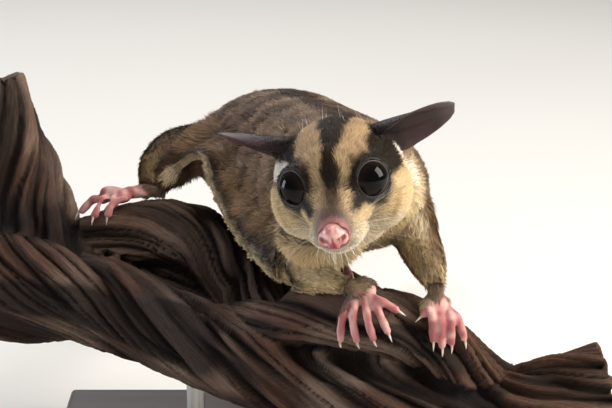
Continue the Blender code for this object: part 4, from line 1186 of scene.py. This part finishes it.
LENGTHS = {"torso": 4.6, "neck": 4.6, "head": 2.5, "arm": 2.8, "leg": 3.4, "membrane": 2.6, "tail": 10.5}
WIDTHS = {"torso": 0.3, "neck": 0.3, "head": 0.19, "arm": 0.24, "leg": 0.27, "membrane": 0.24, "tail": 0.6}
LIFTS = {"torso": 0.26, "neck": 0.3, "head": 0.3, "arm": 0.26, "leg": 0.28, "membrane": 0.2, "tail": 0.62}
BARE = {"hand": 2.2, "foot": 2.0, "ear": 1.0}

q = in_head(skin_places)
snout = np.linalg.norm(q - np.array((0.0, -23.5, -4.5)), axis=1)
eye_gap = np.min([np.linalg.norm(q - mirrored(side, EYE_PLACE), axis=1) for side in (-1, 1)], axis=0)
eye_gap -= EYE_RADIUS
ear_out = np.zeros(len(q))
for root, tip, _ in EARS.values():
    span = np.array(tip) - np.array(root)
    ear_out = np.maximum(ear_out, (q - np.array(root)) @ span / (span @ span))
furred = smoothstep(0.15, 0.7, eye_gap) * smoothstep(0.1, 0.8, np.linalg.norm(q - NOSE_PLACE, axis=1) - 3.0)
ear_bare = ear_soft * smoothstep(0.25, 0.55, ear_out + 0.1 * (noise(skin_places / 1.2, 8) - 0.5))
furred = furred * (1 - smoothstep(0.3, 0.85, hand_soft)) * (1 - smoothstep(0.3, 0.7, ear_bare))
length = per_kind({**LENGTHS, **BARE})
length *= 0.3 + 0.7 * smoothstep(3.0, 15.0, snout)
length *= 0.45 + 0.55 * smoothstep(0.3, 4.0, eye_gap)
ruff = smoothstep(9.0, 14.0, np.abs(q[:, 0])) * smoothstep(-6.0, 4.0, q[:, 1]) * smoothstep(8.0, 2.0, q[:, 2])
length *= 1 + 0.5 * ruff * of_kind(skin_kind, "head")
edge_gap = np.minimum(along_line(skin_places, EDGE_RIGHT)[0], along_line(skin_places, EDGE_LEFT)[0])
length *= 0.42 + 0.58 * smoothstep(0.5, 6.0, edge_gap)
width = per_kind({**WIDTHS, "hand": 0.2, "foot": 0.2, "ear": 0.16})
lift = per_kind({**LIFTS, "hand": 0.15, "foot": 0.15, "ear": 0.2})
print("hair from", round(float(length.min()), 2), "to", round(float(length.max()), 2), "mm")

# %% Grow the coat
scale = 1.0


def only(*kinds):
    return of_kind(skin_kind, *kinds).astype(float) * furred * scale


coat("coat_head", only("head", "ear") * 15.0, 101)
coat("coat_neck", only("neck") * 9.0, 102)
coat("coat_back", only("torso") * 5.5, 103)
coat("coat_back_over", only("torso") * 5.5, 113)
coat("coat_limbs", only("arm", "leg") * 9.0 + only("hand", "foot") * 16.0, 104)
coat("coat_membranes", only("membrane") * 8.0, 105)
coat("coat_tail", only("tail") * 6.0, 106, LONG_BLADE)

# %% [markdown]
# ## Eyes
#
# A glider's eyes are large, round and almost wholly pupil. The ball is black with a very dark brown iris
# at its rim, under a clear wet layer that mirrors the lamps. A thin grey rim of moist skin holds it.

# %% Eyeballs and rims
LID_RADIUS, LID_HALF_THICKNESS, LID_FORWARD = 4.42, 0.24, 2.3

eye_black, tree, shader = new_material("wet_black_eyeball")
fade = add_node(tree, "ShaderNodeAttribute", {"attribute_name": "iris"})
iris = add_node(tree, "ShaderNodeMix", {"data_type": "RGBA"}, Factor=fade.outputs["Fac"])
iris.inputs["A"].default_value = colour("050505")
iris.inputs["B"].default_value = colour("1F1510")
tree.links.new(iris.outputs["Result"], shader.inputs["Base Color"])
finish(shader, Roughness=0.3, Specular_IOR_Level=0.0, Coat_Weight=0.6, Coat_Roughness=0.015, Coat_IOR=1.33)

rim_skin, tree, shader = new_material("moist_grey_lid_rim")
finish(shader, Base_Color=colour("3F3E42"), Roughness=0.35, IOR=1.35)


for side, name in ((-1, "right"), (1, "left")):
    axis = HEAD_AXES @ eye_axis(side)
    centre = from_head(mirrored(side, EYE_PLACE))
    turn = Vector(axis).to_track_quat("Z", "Y").to_euler()
    bpy.ops.object.select_all(action="DESELECT")
    bpy.ops.mesh.primitive_uv_sphere_add(
        segments=64, ring_count=40, radius=EYE_RADIUS * MM, location=Vector(centre) * MM, rotation=turn
    )
    ball = bpy.context.object
    ball.name = ball.data.name = f"eyeball_{name}"
    settle_in_mesh(ball)
    outward = unit(points_of(ball.data) - centre) @ axis
    value_attribute(ball.data, "iris", smoothstep(0.92, 0.45, outward) * smoothstep(-0.2, 0.3, outward))
    ball.data.shade_smooth()
    ball.data.materials.append(eye_black)
    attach(ball, "root")
    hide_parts(f"eye_{name}")
    bpy.ops.object.select_all(action="DESELECT")
    bpy.ops.mesh.primitive_torus_add(
        major_radius=LID_RADIUS * MM,
        minor_radius=LID_HALF_THICKNESS * MM,
        major_segments=72,
        minor_segments=14,
        location=Vector(centre + axis * LID_FORWARD) * MM,
        rotation=turn,
    )
    rim = bpy.context.object
    rim.name = rim.data.name = f"lid_rim_{name}"
    settle_in_mesh(rim)
    rim_points = points_of(rim.data)
    wander = noise(rim_points / 1.5, 41)[:, None] - 0.5
    set_points(rim.data, rim_points + wander * 0.18 * axis)
    rim.data.shade_smooth()
    rim.data.materials.append(rim_skin)
    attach(rim, "root")
print("eyes set, radius", EYE_RADIUS, "mm")

# %% [markdown]
# ## Nose
#
# The nose pad is bare, pink and wet, with two comma-shaped nostrils and a groove between them. A copy of
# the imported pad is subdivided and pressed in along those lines.

# %% The nose pad
nose = node_copy("nose")
nose.name = nose.data.name = "nose_pad"
remesh = nose.modifiers.new("Even", "REMESH")
remesh.mode = "VOXEL"
remesh.voxel_size = 0.13 * MM
soften = nose.modifiers.new("Soften", "SMOOTH")
soften.iterations = 6
apply_modifiers(nose)
nose_points = points_of(nose.data)
nose_local = in_head(nose_points) - NOSE_PLACE
x, y, z = nose_local.T
front = smoothstep(0.6, -0.8, y)
groove = smoothstep(0.5, 0.0, np.abs(x)) * front * smoothstep(1.6, -0.4, z)
dent = 0.4 * groove
mottle = noise(nose_points / 0.8, 51)
pad = mixed(flat_tone(linear("C77F7D"), nose_points), linear("E3B0AA"), smoothstep(0.35, 0.75, mottle))
# Paler pink on the two lobes at the front: partly the pad's own tone and partly a painted highlight.
lobes = smoothstep(2.2, 0.9, np.hypot(np.abs(x) - 1.3, z + 0.1))
pad = mixed(pad, linear("EBC3BC"), 0.55 * lobes * front)
pad = mixed(pad, linear("8F2B36"), 0.85 * groove)
low = smoothstep(1.7, 0.5, np.hypot(x * 0.9, z + 2.0))
pad = mixed(pad, linear("A02733"), 0.85 * low * front)
for side in (-1, 1):
    comma = capsule(nose_local, (side * 1.75, -1.9, -0.6), (side * 2.9, -0.9, 0.1), 0.42, 0.16)
    hole = smoothstep(0.35, -0.1, comma)
    dent = np.maximum(dent, 0.9 * hole)
    pad = mixed(pad, linear("A03A44"), 0.7 * smoothstep(0.9, 0.2, comma))
    # Painted shade: the nostril dents are near-black inside.
    pad = mixed(pad, linear("2A0F12"), 0.9 * hole)
pad = mixed(pad, linear("7D5C5B"), smoothstep(-0.9, 0.9, y) * smoothstep(-1.8, 0.5, z))
set_points(nose.data, nose_points + normals_of(nose.data) * (0.12 - dent)[:, None])
colour_attribute(nose.data, "pad", pad)
nose_skin, tree, shader = new_material("wet_pink_nose")
tone = add_node(tree, "ShaderNodeAttribute", {"attribute_name": "pad"})
where = add_node(tree, "ShaderNodeTexCoord")
pebbles = add_node(tree, "ShaderNodeTexVoronoi", None, Vector=where.outputs["Object"], Scale=2600.0)
height = pebbles.outputs["Distance"]
bump = add_node(tree, "ShaderNodeBump", None, Height=height, Strength=0.4, Distance=0.0001)
tree.links.new(tone.outputs["Color"], shader.inputs["Base Color"])
tree.links.new(bump.outputs["Normal"], shader.inputs["Normal"])
finish(
    shader,
    Roughness=0.3, IOR=1.4, Coat_Weight=0.35, Coat_Roughness=0.12, Subsurface_Weight=0.12,
    Subsurface_Radius=(1.0, 0.35, 0.25), Subsurface_Scale=0.0008,
)
nose.data.shade_smooth()
nose.data.materials.clear()
nose.data.materials.append(nose_skin)
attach(nose, "root")
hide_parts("nose")
print("nose:", len(nose.data.vertices), "points")

# %% [markdown]
# ## Claws
#
# Small curved claws, white and slightly see-through at the tip, pinkish at the root. Each digit bends over
# the vine. Its path is walked again here along the vine's surface, and its claw is set at the end of it.

# %% Claws on every digit
CLAW_STEPS, CLAW_SIDES = 8, 10
CLAW_LENGTH, CLAW_HALF_THICKNESS = 2.5, 0.55


def thin_forms(name, forms, closed):
    """One piece of many thin forms, each a list of rings of points in mm, with closed ends if asked."""
    points, joined = [], []
    for rings in forms:
        first, sides = len(points), len(rings[0])
        last = first + (len(rings) - 1) * sides
        points.extend(Vector(point) * MM for ring in rings for point in ring)
        for low in range(first, last, sides):
            for side in range(sides):
                a, b = low + side, low + (side + 1) % sides
                joined.append((a, b, b + sides, a + sides))
        if closed:
            joined.append(tuple(first + sides - 1 - side for side in range(sides)))
            joined.append(tuple(last + side for side in range(sides)))
    mesh = bpy.data.meshes.new(name)
    mesh.from_pydata(points, [], joined)
    made = bpy.data.objects.new(name, mesh)
    bpy.context.scene.collection.objects.link(made)
    return made


def claw_rings(name, digit):
    """A small hooked claw at the end of a digit, flat from side to side."""
    path, way, out = digit_path(name, digit)
    across = way.cross(out).normalized()
    heel = path[-1] + way * HANDS[name][4] * 0.45
    rings = []
    for step in range(CLAW_STEPS + 1):
        t = step / CLAW_STEPS
        middle = heel + way * CLAW_LENGTH * t + out * (0.25 + 0.55 * t - 1.35 * t * t)
        thick = CLAW_HALF_THICKNESS * (1 - t) ** 0.75 + 0.04
        turns = [2 * math.pi * side / CLAW_SIDES for side in range(CLAW_SIDES)]
        rings.append([middle + (across * math.cos(a) * 0.7 + out * math.sin(a)) * thick for a in turns])
    return rings


claw_forms = [claw_rings(name, digit) for name in HANDS for digit in DIGITS[name]]
claws = thin_forms("claws", claw_forms, True)
claw_mesh = claws.data
claw_share = [step / CLAW_STEPS for rings in claw_forms for step, ring in enumerate(rings) for _ in ring]
value_attribute(claw_mesh, "out_along", claw_share)
horn, tree, shader = new_material("pale_claw_horn")
share = add_node(tree, "ShaderNodeAttribute", {"attribute_name": "out_along"})
tones = add_node(tree, "ShaderNodeValToRGB", None, Fac=share.outputs["Fac"])
tones.color_ramp.elements[0].color = colour("C79A90")
tones.color_ramp.elements[0].position = 0.1
tones.color_ramp.elements[1].color = colour("EFE8DC")
tones.color_ramp.elements[1].position = 0.55
tree.links.new(tones.outputs["Color"], shader.inputs["Base Color"])
finish(shader, Roughness=0.3, IOR=1.54, Subsurface_Weight=0.2, Subsurface_Scale=0.0006)
claw_mesh.materials.append(horn)
claw_mesh.shade_smooth()
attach(claws, "root")
print("claws:", len(claw_forms))

# %% [markdown]
# ## Whiskers and long single hairs
#
# Fine stiff whiskers stand in rows on each side of the muzzle, with a few over the eyes, short white
# hairs on the chin, and some long pale guard hairs that stand up from the crown and nape.

# %% Whiskers
HAIR_STEPS, HAIR_SIDES = 9, 4
# Half thicknesses at the root, in mm
WHISKER, BROW_HAIR, CHIN_HAIR = 0.035, 0.028, 0.05
draw = np.random.default_rng(77)
skin_tree = BVHTree.FromPolygons([Vector(place) for place in skin_places], faces.tolist())
hairs = []


def add_hair(root, way, reach, thick, droop, dark):
    """A hair from the head: its root, way and length in the head's frame, drop of its tip and shade."""
    near = skin_tree.find_nearest(Vector(from_head(root)))[0]
    hairs.append((np.array(near), unit(HEAD_AXES @ np.array(way, float)), reach, thick, droop, dark))


for side in (-1, 1):
    for row in range(4):
        for column in range(5):
            root = (side * (3.9 + 0.55 * column), -22.6 + 1.35 * column, -2.6 - 1.15 * row)
            sideways = side * (0.9 + 0.1 * draw.normal())
            way = (sideways, 0.25 + 0.18 * column, 0.35 - 0.3 * row + 0.08 * draw.normal())
            reach = 9.0 + 3.4 * column + 2 * draw.random()
            droop = 1.5 + 2.5 * draw.random()
            add_hair(root, way, reach, WHISKER, droop, 0.25 + 0.5 * draw.random())
    for row in range(3):
        root = (side * (7.5 + row), -11.0 + row, 8.5)
        add_hair(root, (side * 0.45, -0.35, 0.7), 5 + 2 * row, BROW_HAIR, 1.0, 0.1)
for index in range(26):
    root = (draw.uniform(-4.5, 4.5), -20.5 + 6 * draw.random(), -8.6)
    way = (0.35 * root[0] / 4, -0.35 + 0.5 * draw.random(), -0.9)
    add_hair(root, way, 2.5 + 3 * draw.random(), CHIN_HAIR, 0.0, 0.95)
for index in range(9):
    root = (draw.uniform(-9, 10), 3 + 9 * draw.random(), 13.5)
    way = (0.3 * draw.normal(), 0.25 + 0.3 * draw.random(), 1.0)
    add_hair(root, way, 3.0 + 4.0 * draw.random(), WHISKER, 0.3, 0.9)

print("roots of single hairs:", len(hairs))

# %% Bend the hairs and make them one piece
hair_forms, hair_shade = [], []
for root, way, reach, thick, droop, dark in hairs:
    side = unit(np.cross(way, (0.1, 0.9, 0.3)))
    up = np.cross(side, way)
    sway = draw.normal(0.0, 0.05) * reach
    rings = []
    for step in range(HAIR_STEPS + 1):
        t = step / HAIR_STEPS
        middle = root + way * reach * t + side * sway * t * t + np.array((0.0, 0.35, -1.0)) * droop * t * t
        size = thick * (1 - 0.85 * t)
        turns = [2 * math.pi * corner / HAIR_SIDES for corner in range(HAIR_SIDES)]
        rings.append([middle + (side * math.cos(turn) + up * math.sin(turn)) * size for turn in turns])
    hair_forms.append(rings)
    hair_shade += [dark] * ((HAIR_STEPS + 1) * HAIR_SIDES)
whiskers = thin_forms("whiskers", hair_forms, False)
hair_mesh = whiskers.data
value_attribute(hair_mesh, "pale", hair_shade)
bristle, tree, shader = new_material("whisker_bristle")
share = add_node(tree, "ShaderNodeAttribute", {"attribute_name": "pale"})
tones = add_node(tree, "ShaderNodeValToRGB", None, Fac=share.outputs["Fac"])
tones.color_ramp.elements[0].color = colour("1D1613")
tones.color_ramp.elements[1].color = colour("F1EBDD")
tree.links.new(tones.outputs["Color"], shader.inputs["Base Color"])
shader.inputs["Roughness"].default_value = 0.35
hair_mesh.materials.append(bristle)
hair_mesh.shade_smooth()
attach(whiskers, "root")
print("single hairs:", len(hairs))

# %% [markdown]
# ## The vine
#
# The perch is a length of twisted vine: several strands grown together, weathered grey-brown, with long
# deep grooves that turn along each strand and near-black patches of old bark. A fine copy of the packed
# form is pressed into grooves that follow the nearest strand, and the finest fibres are left to bump.

# %% The vine's strands
# The middle lines of the strands, from the stem's end down to the cut end on the right
STRANDS = {
    "front": (
        *((-90, 12, 60.6), (-74, 7, 56.4), (-49, -2, 55), (-22, -17, 47.5), (6, -33, 41.5)),
        *((32, -43, 38.5), (56, -46, 36), (74, -45.5, 40.5), (87, -44, 44)),
    ),
    "stem": ((-86.5, 36, 108), (-81, 32, 94), (-75.5, 27, 80), (-69, 20, 67), (-59, 12, 56), (-46, 6, 50)),
    "hump": (
        *((-68, 15, 54), (-57, 18, 61.5), (-45, 19, 66.5), (-32, 18.5, 68.5), (-19, 15, 65)),
        *((-9, 8, 55), (1, -6, 46), (16, -24, 41)),
    ),
    "arch": (
        *((-24, -6, 45), (-6, -20, 51), (10, -33, 58.5), (25, -41, 61.5)),
        *((39, -43, 57.5), (50, -44, 48), (59, -44, 40)),
    ),
    "back": (
        *((-46, 18, 57), (-26, 20, 54), (-4, 15, 53.5), (13, 6, 55)),
        *((29, -8, 49.5), (43, -25, 42.5), (57, -38, 39)),
    ),
}
STRAND_RADIUS = {"front": 12.8, "stem": 13.4, "hump": 9.8, "arch": 8.9, "back": 8.0}
TWIST = math.radians(2.2)
VINE_VOXEL = 0.75 * MM


def smooth_line(points, steps=20):
    """Closely spaced points on a smooth curve through the given ones."""
    points = np.array(points, float)
    padded = np.vstack([2 * points[0] - points[1], points, 2 * points[-1] - points[-2]])
    made = []
    for index in range(len(points) - 1):
        p0, p1, p2, p3 = padded[index : index + 4]
        for t in np.arange(steps) / steps:
            made.append(
                0.5 * (2 * p1 + (p2 - p0) * t + (2 * p0 - 5 * p1 + 4 * p2 - p3) * t * t)
                + 0.5 * (3 * p1 - p0 - 3 * p2 + p3) * t**3
            )
    made.append(points[-1])
    return np.array(made)


def strand_place(points):
    """Along, round and out from the nearest strand of the vine, in mm."""
    best = np.full(len(points), 1e9)
    found = np.zeros((len(points), 4))
    for number, (name, rows) in enumerate(STRANDS.items()):
        line = smooth_line(rows)
        gap, run, share = along_line(points, line)
        total = np.linalg.norm(np.diff(line, axis=0), axis=1).sum()
        score = gap - STRAND_RADIUS[name]
        at = share * total
        index = np.clip((share * (len(line) - 1)).astype(int), 0, len(line) - 2)
        centre = line[index] + run * np.sum((points - line[index]) * run, axis=1)[:, None]
        side = unit(np.cross(run, (0.1, 0.05, 1.0)))
        up = np.cross(side, run)
        spoke = points - centre
        angle = np.arctan2(np.sum(spoke * up, axis=1), np.sum(spoke * side, axis=1))
        near = score < best
        best[near] = score[near]
        found[near] = np.stack([at, angle, gap, np.full(len(points), number)], axis=1)[near]
    return found


vine = node_copy("perch_vine")
vine.name = vine.data.name = "vine_wood"
remesh = vine.modifiers.new("Even", "REMESH")
remesh.mode = "VOXEL"
remesh.voxel_size = VINE_VOXEL
soften = vine.modifiers.new("Soften", "SMOOTH")
soften.iterations = 4
apply_modifiers(vine)
vine_points = points_of(vine.data)
strand = strand_place(vine_points)
print("vine:", len(vine_points), "points")

# %% [markdown]
# Noise that is drawn out along the strand, and turned with it, makes the grooves. Its cells are 45 mm long
# and a few millimetres across for the ropes of the grain, and shorter and narrower for its fibres. Round
# the strand the noise is read on a circle, so that it closes on itself.

# %% Grooves in the vine


def grain(strand, across, along, seed, twist=TWIST):
    """Noise drawn out along the strands, this many mm across and along."""
    at, angle, gap, number = strand.T
    turned = angle + twist * at
    reach = 10.0 / across
    ring = np.stack([np.cos(turned) * reach, np.sin(turned) * reach, at / along], axis=1)
    wander = noise(np.stack([at / 30.0, number * 7.0, number], axis=1), seed + 50) - 0.5
    ring[:, 0] += number * 13.0 + wander
    return noise(ring, seed)


ropes = grain(strand, 3.6, 70.0, 61)
ridges = grain(strand, 1.7, 42.0, 62)
fibres = grain(strand, 0.9, 20.0, 63)
rope_cut = 1 - np.abs(2 * ropes - 1)
ridge_cut = 1 - np.abs(2 * ridges - 1)
fibre_cut = 1 - np.abs(2 * fibres - 1)
press = 1.9 * smoothstep(0.74, 1.0, rope_cut) + 1.1 * smoothstep(0.62, 1.0, ridge_cut) + 0.5 * fibre_cut
swell_out = 0.7 * (1 - rope_cut)
set_points(vine.data, vine_points + normals_of(vine.data) * (swell_out - press)[:, None])
at, angle, _, number = strand.T
patch_place = np.stack([at / 26, angle * 1.2 + number * 5, number], axis=1)
patch = smoothstep(0.56, 0.72, noise(patch_place, 71))
groove_painted_shade = np.clip(0.9 * smoothstep(0.6, 1.0, rope_cut) + 0.7 * smoothstep(0.55, 1.0, ridge_cut), 0, 1)
greyed = smoothstep(0.35, 0.75, noise(vine_points / 14, 72))
wood = mixed(flat_tone(linear("63493C"), vine_points), linear("8A7465"), greyed)
wood = mixed(wood, linear("6F4B33"), 0.5 * smoothstep(0.45, 0.8, noise(vine_points / 22, 73)))
crest = smoothstep(0.55, 0.1, fibre_cut) * smoothstep(0.5, 0.2, ridge_cut)
wood = mixed(wood, linear("97836F"), 0.45 * crest)
# Painted shade in the grooves: near-black where they are pressed in.
wood = mixed(wood, linear("150E0B"), 0.92 * groove_painted_shade)
wood = mixed(wood, linear("1E1816"), 0.8 * patch)
colour_attribute(vine.data, "wood", wood)
grain_place = vine.data.attributes.new("grain_place", "FLOAT_VECTOR", "POINT")
turned = angle + TWIST * at
rows = np.stack([np.cos(turned) * 10, np.sin(turned) * 10, at / 14 + number * 9], axis=1)
grain_place.data.foreach_set("vector", rows.astype(np.float32).ravel())
vine.data.shade_smooth()
print("deepest groove:", round(float(press.max()), 2), "mm")

# %% The vine's material
bark, tree, shader = new_material("weathered_vine_wood")
tone = add_node(tree, "ShaderNodeAttribute", {"attribute_name": "wood"})
where = add_node(tree, "ShaderNodeAttribute", {"attribute_name": "grain_place"})
grains = {"Scale": 3.4, "Detail": 8.0, "Roughness": 0.75}
fine = add_node(tree, "ShaderNodeTexNoise", None, Vector=where.outputs["Vector"], **grains)
limits = {"From_Min": 0.3, "From_Max": 0.7, "To_Min": 0.35, "To_Max": 1.5}
streak = add_node(tree, "ShaderNodeMapRange", None, Value=fine.outputs["Fac"], **limits)
shade = add_node(tree, "ShaderNodeVectorMath", {"operation": "SCALE"}, Scale=streak.outputs["Result"])
tree.links.new(tone.outputs["Color"], shade.inputs[0])
tree.links.new(shade.outputs[0], shader.inputs["Base Color"])
bump = add_node(tree, "ShaderNodeBump", None, Height=fine.outputs["Fac"], Strength=1.0, Distance=0.0009)
tree.links.new(bump.outputs["Normal"], shader.inputs["Normal"])
finish(shader, Roughness=0.82, IOR=1.5, Specular_IOR_Level=0.3)
vine.data.materials.clear()
vine.data.materials.append(bark)
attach(vine, "root")
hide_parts("perch_vine")

# %% [markdown]
# ## The stand
#
# A flat base of dark stained beech with eased edges, and two brushed steel rods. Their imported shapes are
# already right, so they only get their materials.

# %% The stand's materials
beech, tree, shader = new_material("dark_stained_beech")
where = add_node(tree, "ShaderNodeTexCoord")
place = where.outputs["Object"]
stretch = add_node(tree, "ShaderNodeMapping", None, Vector=place, Scale=(14.0, 260.0, 260.0))
rings = add_node(tree, "ShaderNodeTexNoise", None, Vector=stretch.outputs["Vector"], Scale=1.0, Detail=8.0)
stain = add_node(tree, "ShaderNodeValToRGB", None, Fac=rings.outputs["Fac"])
stain.color_ramp.elements[0].position = 0.35
stain.color_ramp.elements[0].color = colour("1E1713")
stain.color_ramp.elements[1].position = 0.7
stain.color_ramp.elements[1].color = colour("3B2B22")
bump = add_node(tree, "ShaderNodeBump", None, Height=rings.outputs["Fac"], Strength=0.2, Distance=0.0003)
tree.links.new(stain.outputs["Color"], shader.inputs["Base Color"])
tree.links.new(bump.outputs["Normal"], shader.inputs["Normal"])
finish(shader, Roughness=0.38, Coat_Weight=0.25, Coat_Roughness=0.25)

steel, tree, shader = new_material("brushed_steel")
where = add_node(tree, "ShaderNodeTexCoord")
place = where.outputs["Object"]
stretch = add_node(tree, "ShaderNodeMapping", None, Vector=place, Scale=(900.0, 900.0, 60.0))
brush = add_node(tree, "ShaderNodeTexNoise", None, Vector=stretch.outputs["Vector"], Scale=1.0, Detail=4.0)
wear = add_node(tree, "ShaderNodeMapRange", None, Value=brush.outputs["Fac"], To_Min=0.24, To_Max=0.42)
tree.links.new(wear.outputs["Result"], shader.inputs["Roughness"])
finish(shader, Base_Color=colour("A9A8A6"), Metallic=1.0)


def dress(name, material):
    part = nodes[name]
    part.data.materials.clear()
    part.data.materials.append(material)
    bpy.ops.object.select_all(action="DESELECT")
    part.select_set(True)
    bpy.context.view_layer.objects.active = part
    bpy.ops.object.shade_smooth_by_angle(angle=math.radians(30.0))


dress("stand_base", beech)
dress("stand_rod_1", steel)
dress("stand_rod_2", steel)
print("stand dressed")

# %% [markdown]
# ## Floor and light
#
# A plain pale floor and soft studio light: a large lamp up and to the right that gives the eyes their
# main highlight, a second on the left, and a dim one behind that lights the edge of the coat.

# %% Floor, lamps and sky
floor_paint, tree, shader = new_material("pale_floor")
where = add_node(tree, "ShaderNodeTexCoord")
cloud = add_node(tree, "ShaderNodeTexNoise", None, Vector=where.outputs["Object"], Scale=3.0)
tint = add_node(tree, "ShaderNodeMix", {"data_type": "RGBA"}, Factor=cloud.outputs["Fac"])
tint.inputs["A"].default_value = colour("DEDCD8")
tint.inputs["B"].default_value = colour("E4E2DE")
tree.links.new(tint.outputs["Result"], shader.inputs["Base Color"])
shader.inputs["Roughness"].default_value = 0.8
bpy.ops.object.select_all(action="DESELECT")
bpy.ops.mesh.primitive_plane_add(size=8.0, location=(0.0, 1.5, 0.0))
floor = bpy.context.object
floor.name = "floor"
floor.data.materials.append(floor_paint)
floor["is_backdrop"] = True


def soft_lamp(name, place, size, power, tint="FFFFFF"):
    bpy.ops.object.light_add(type="AREA", location=Vector(place))
    lamp = bpy.context.object
    lamp.name = name
    lamp.data.shape = "RECTANGLE"
    lamp.data.size, lamp.data.size_y = size
    lamp.data.energy = power
    lamp.data.color = linear(tint)
    lamp.rotation_euler = (AIM - Vector(place)).to_track_quat("-Z", "Y").to_euler()
    return lamp


soft_lamp("key_lamp", (0.78, -0.14, 0.58), (0.55, 0.7), 15.0, "FFF6EA")
soft_lamp("fill_lamp", (-1.0, 0.16, 0.16), (0.35, 0.65), 8.0, "EAF0FF")
# The lamp behind the camera lights the face and isn't mirrored in the eyes
front = soft_lamp("front_lamp", (0.15, -0.95, 1.25), (1.2, 0.7), 7.0)
front.visible_glossy = False
soft_lamp("rim_lamp", (-0.3, 0.9, 0.9), (0.5, 0.5), 6.0)
world = bpy.data.worlds.new("soft_room")
bpy.context.scene.world = world
world.use_nodes = True
world.node_tree.nodes["Background"].inputs["Color"].default_value = colour("E9EAEC")
world.node_tree.nodes["Background"].inputs["Strength"].default_value = 0.25
bpy.context.scene.view_settings.view_transform = "Standard"
print("floor and lamps in place")

# %% [markdown]
# ## Sizes and the end
#
# The dressed model's box is printed, in millimetres.

low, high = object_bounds()
print("visual box in mm:", [round(v / MM, 1) for v in (*low, *high)])
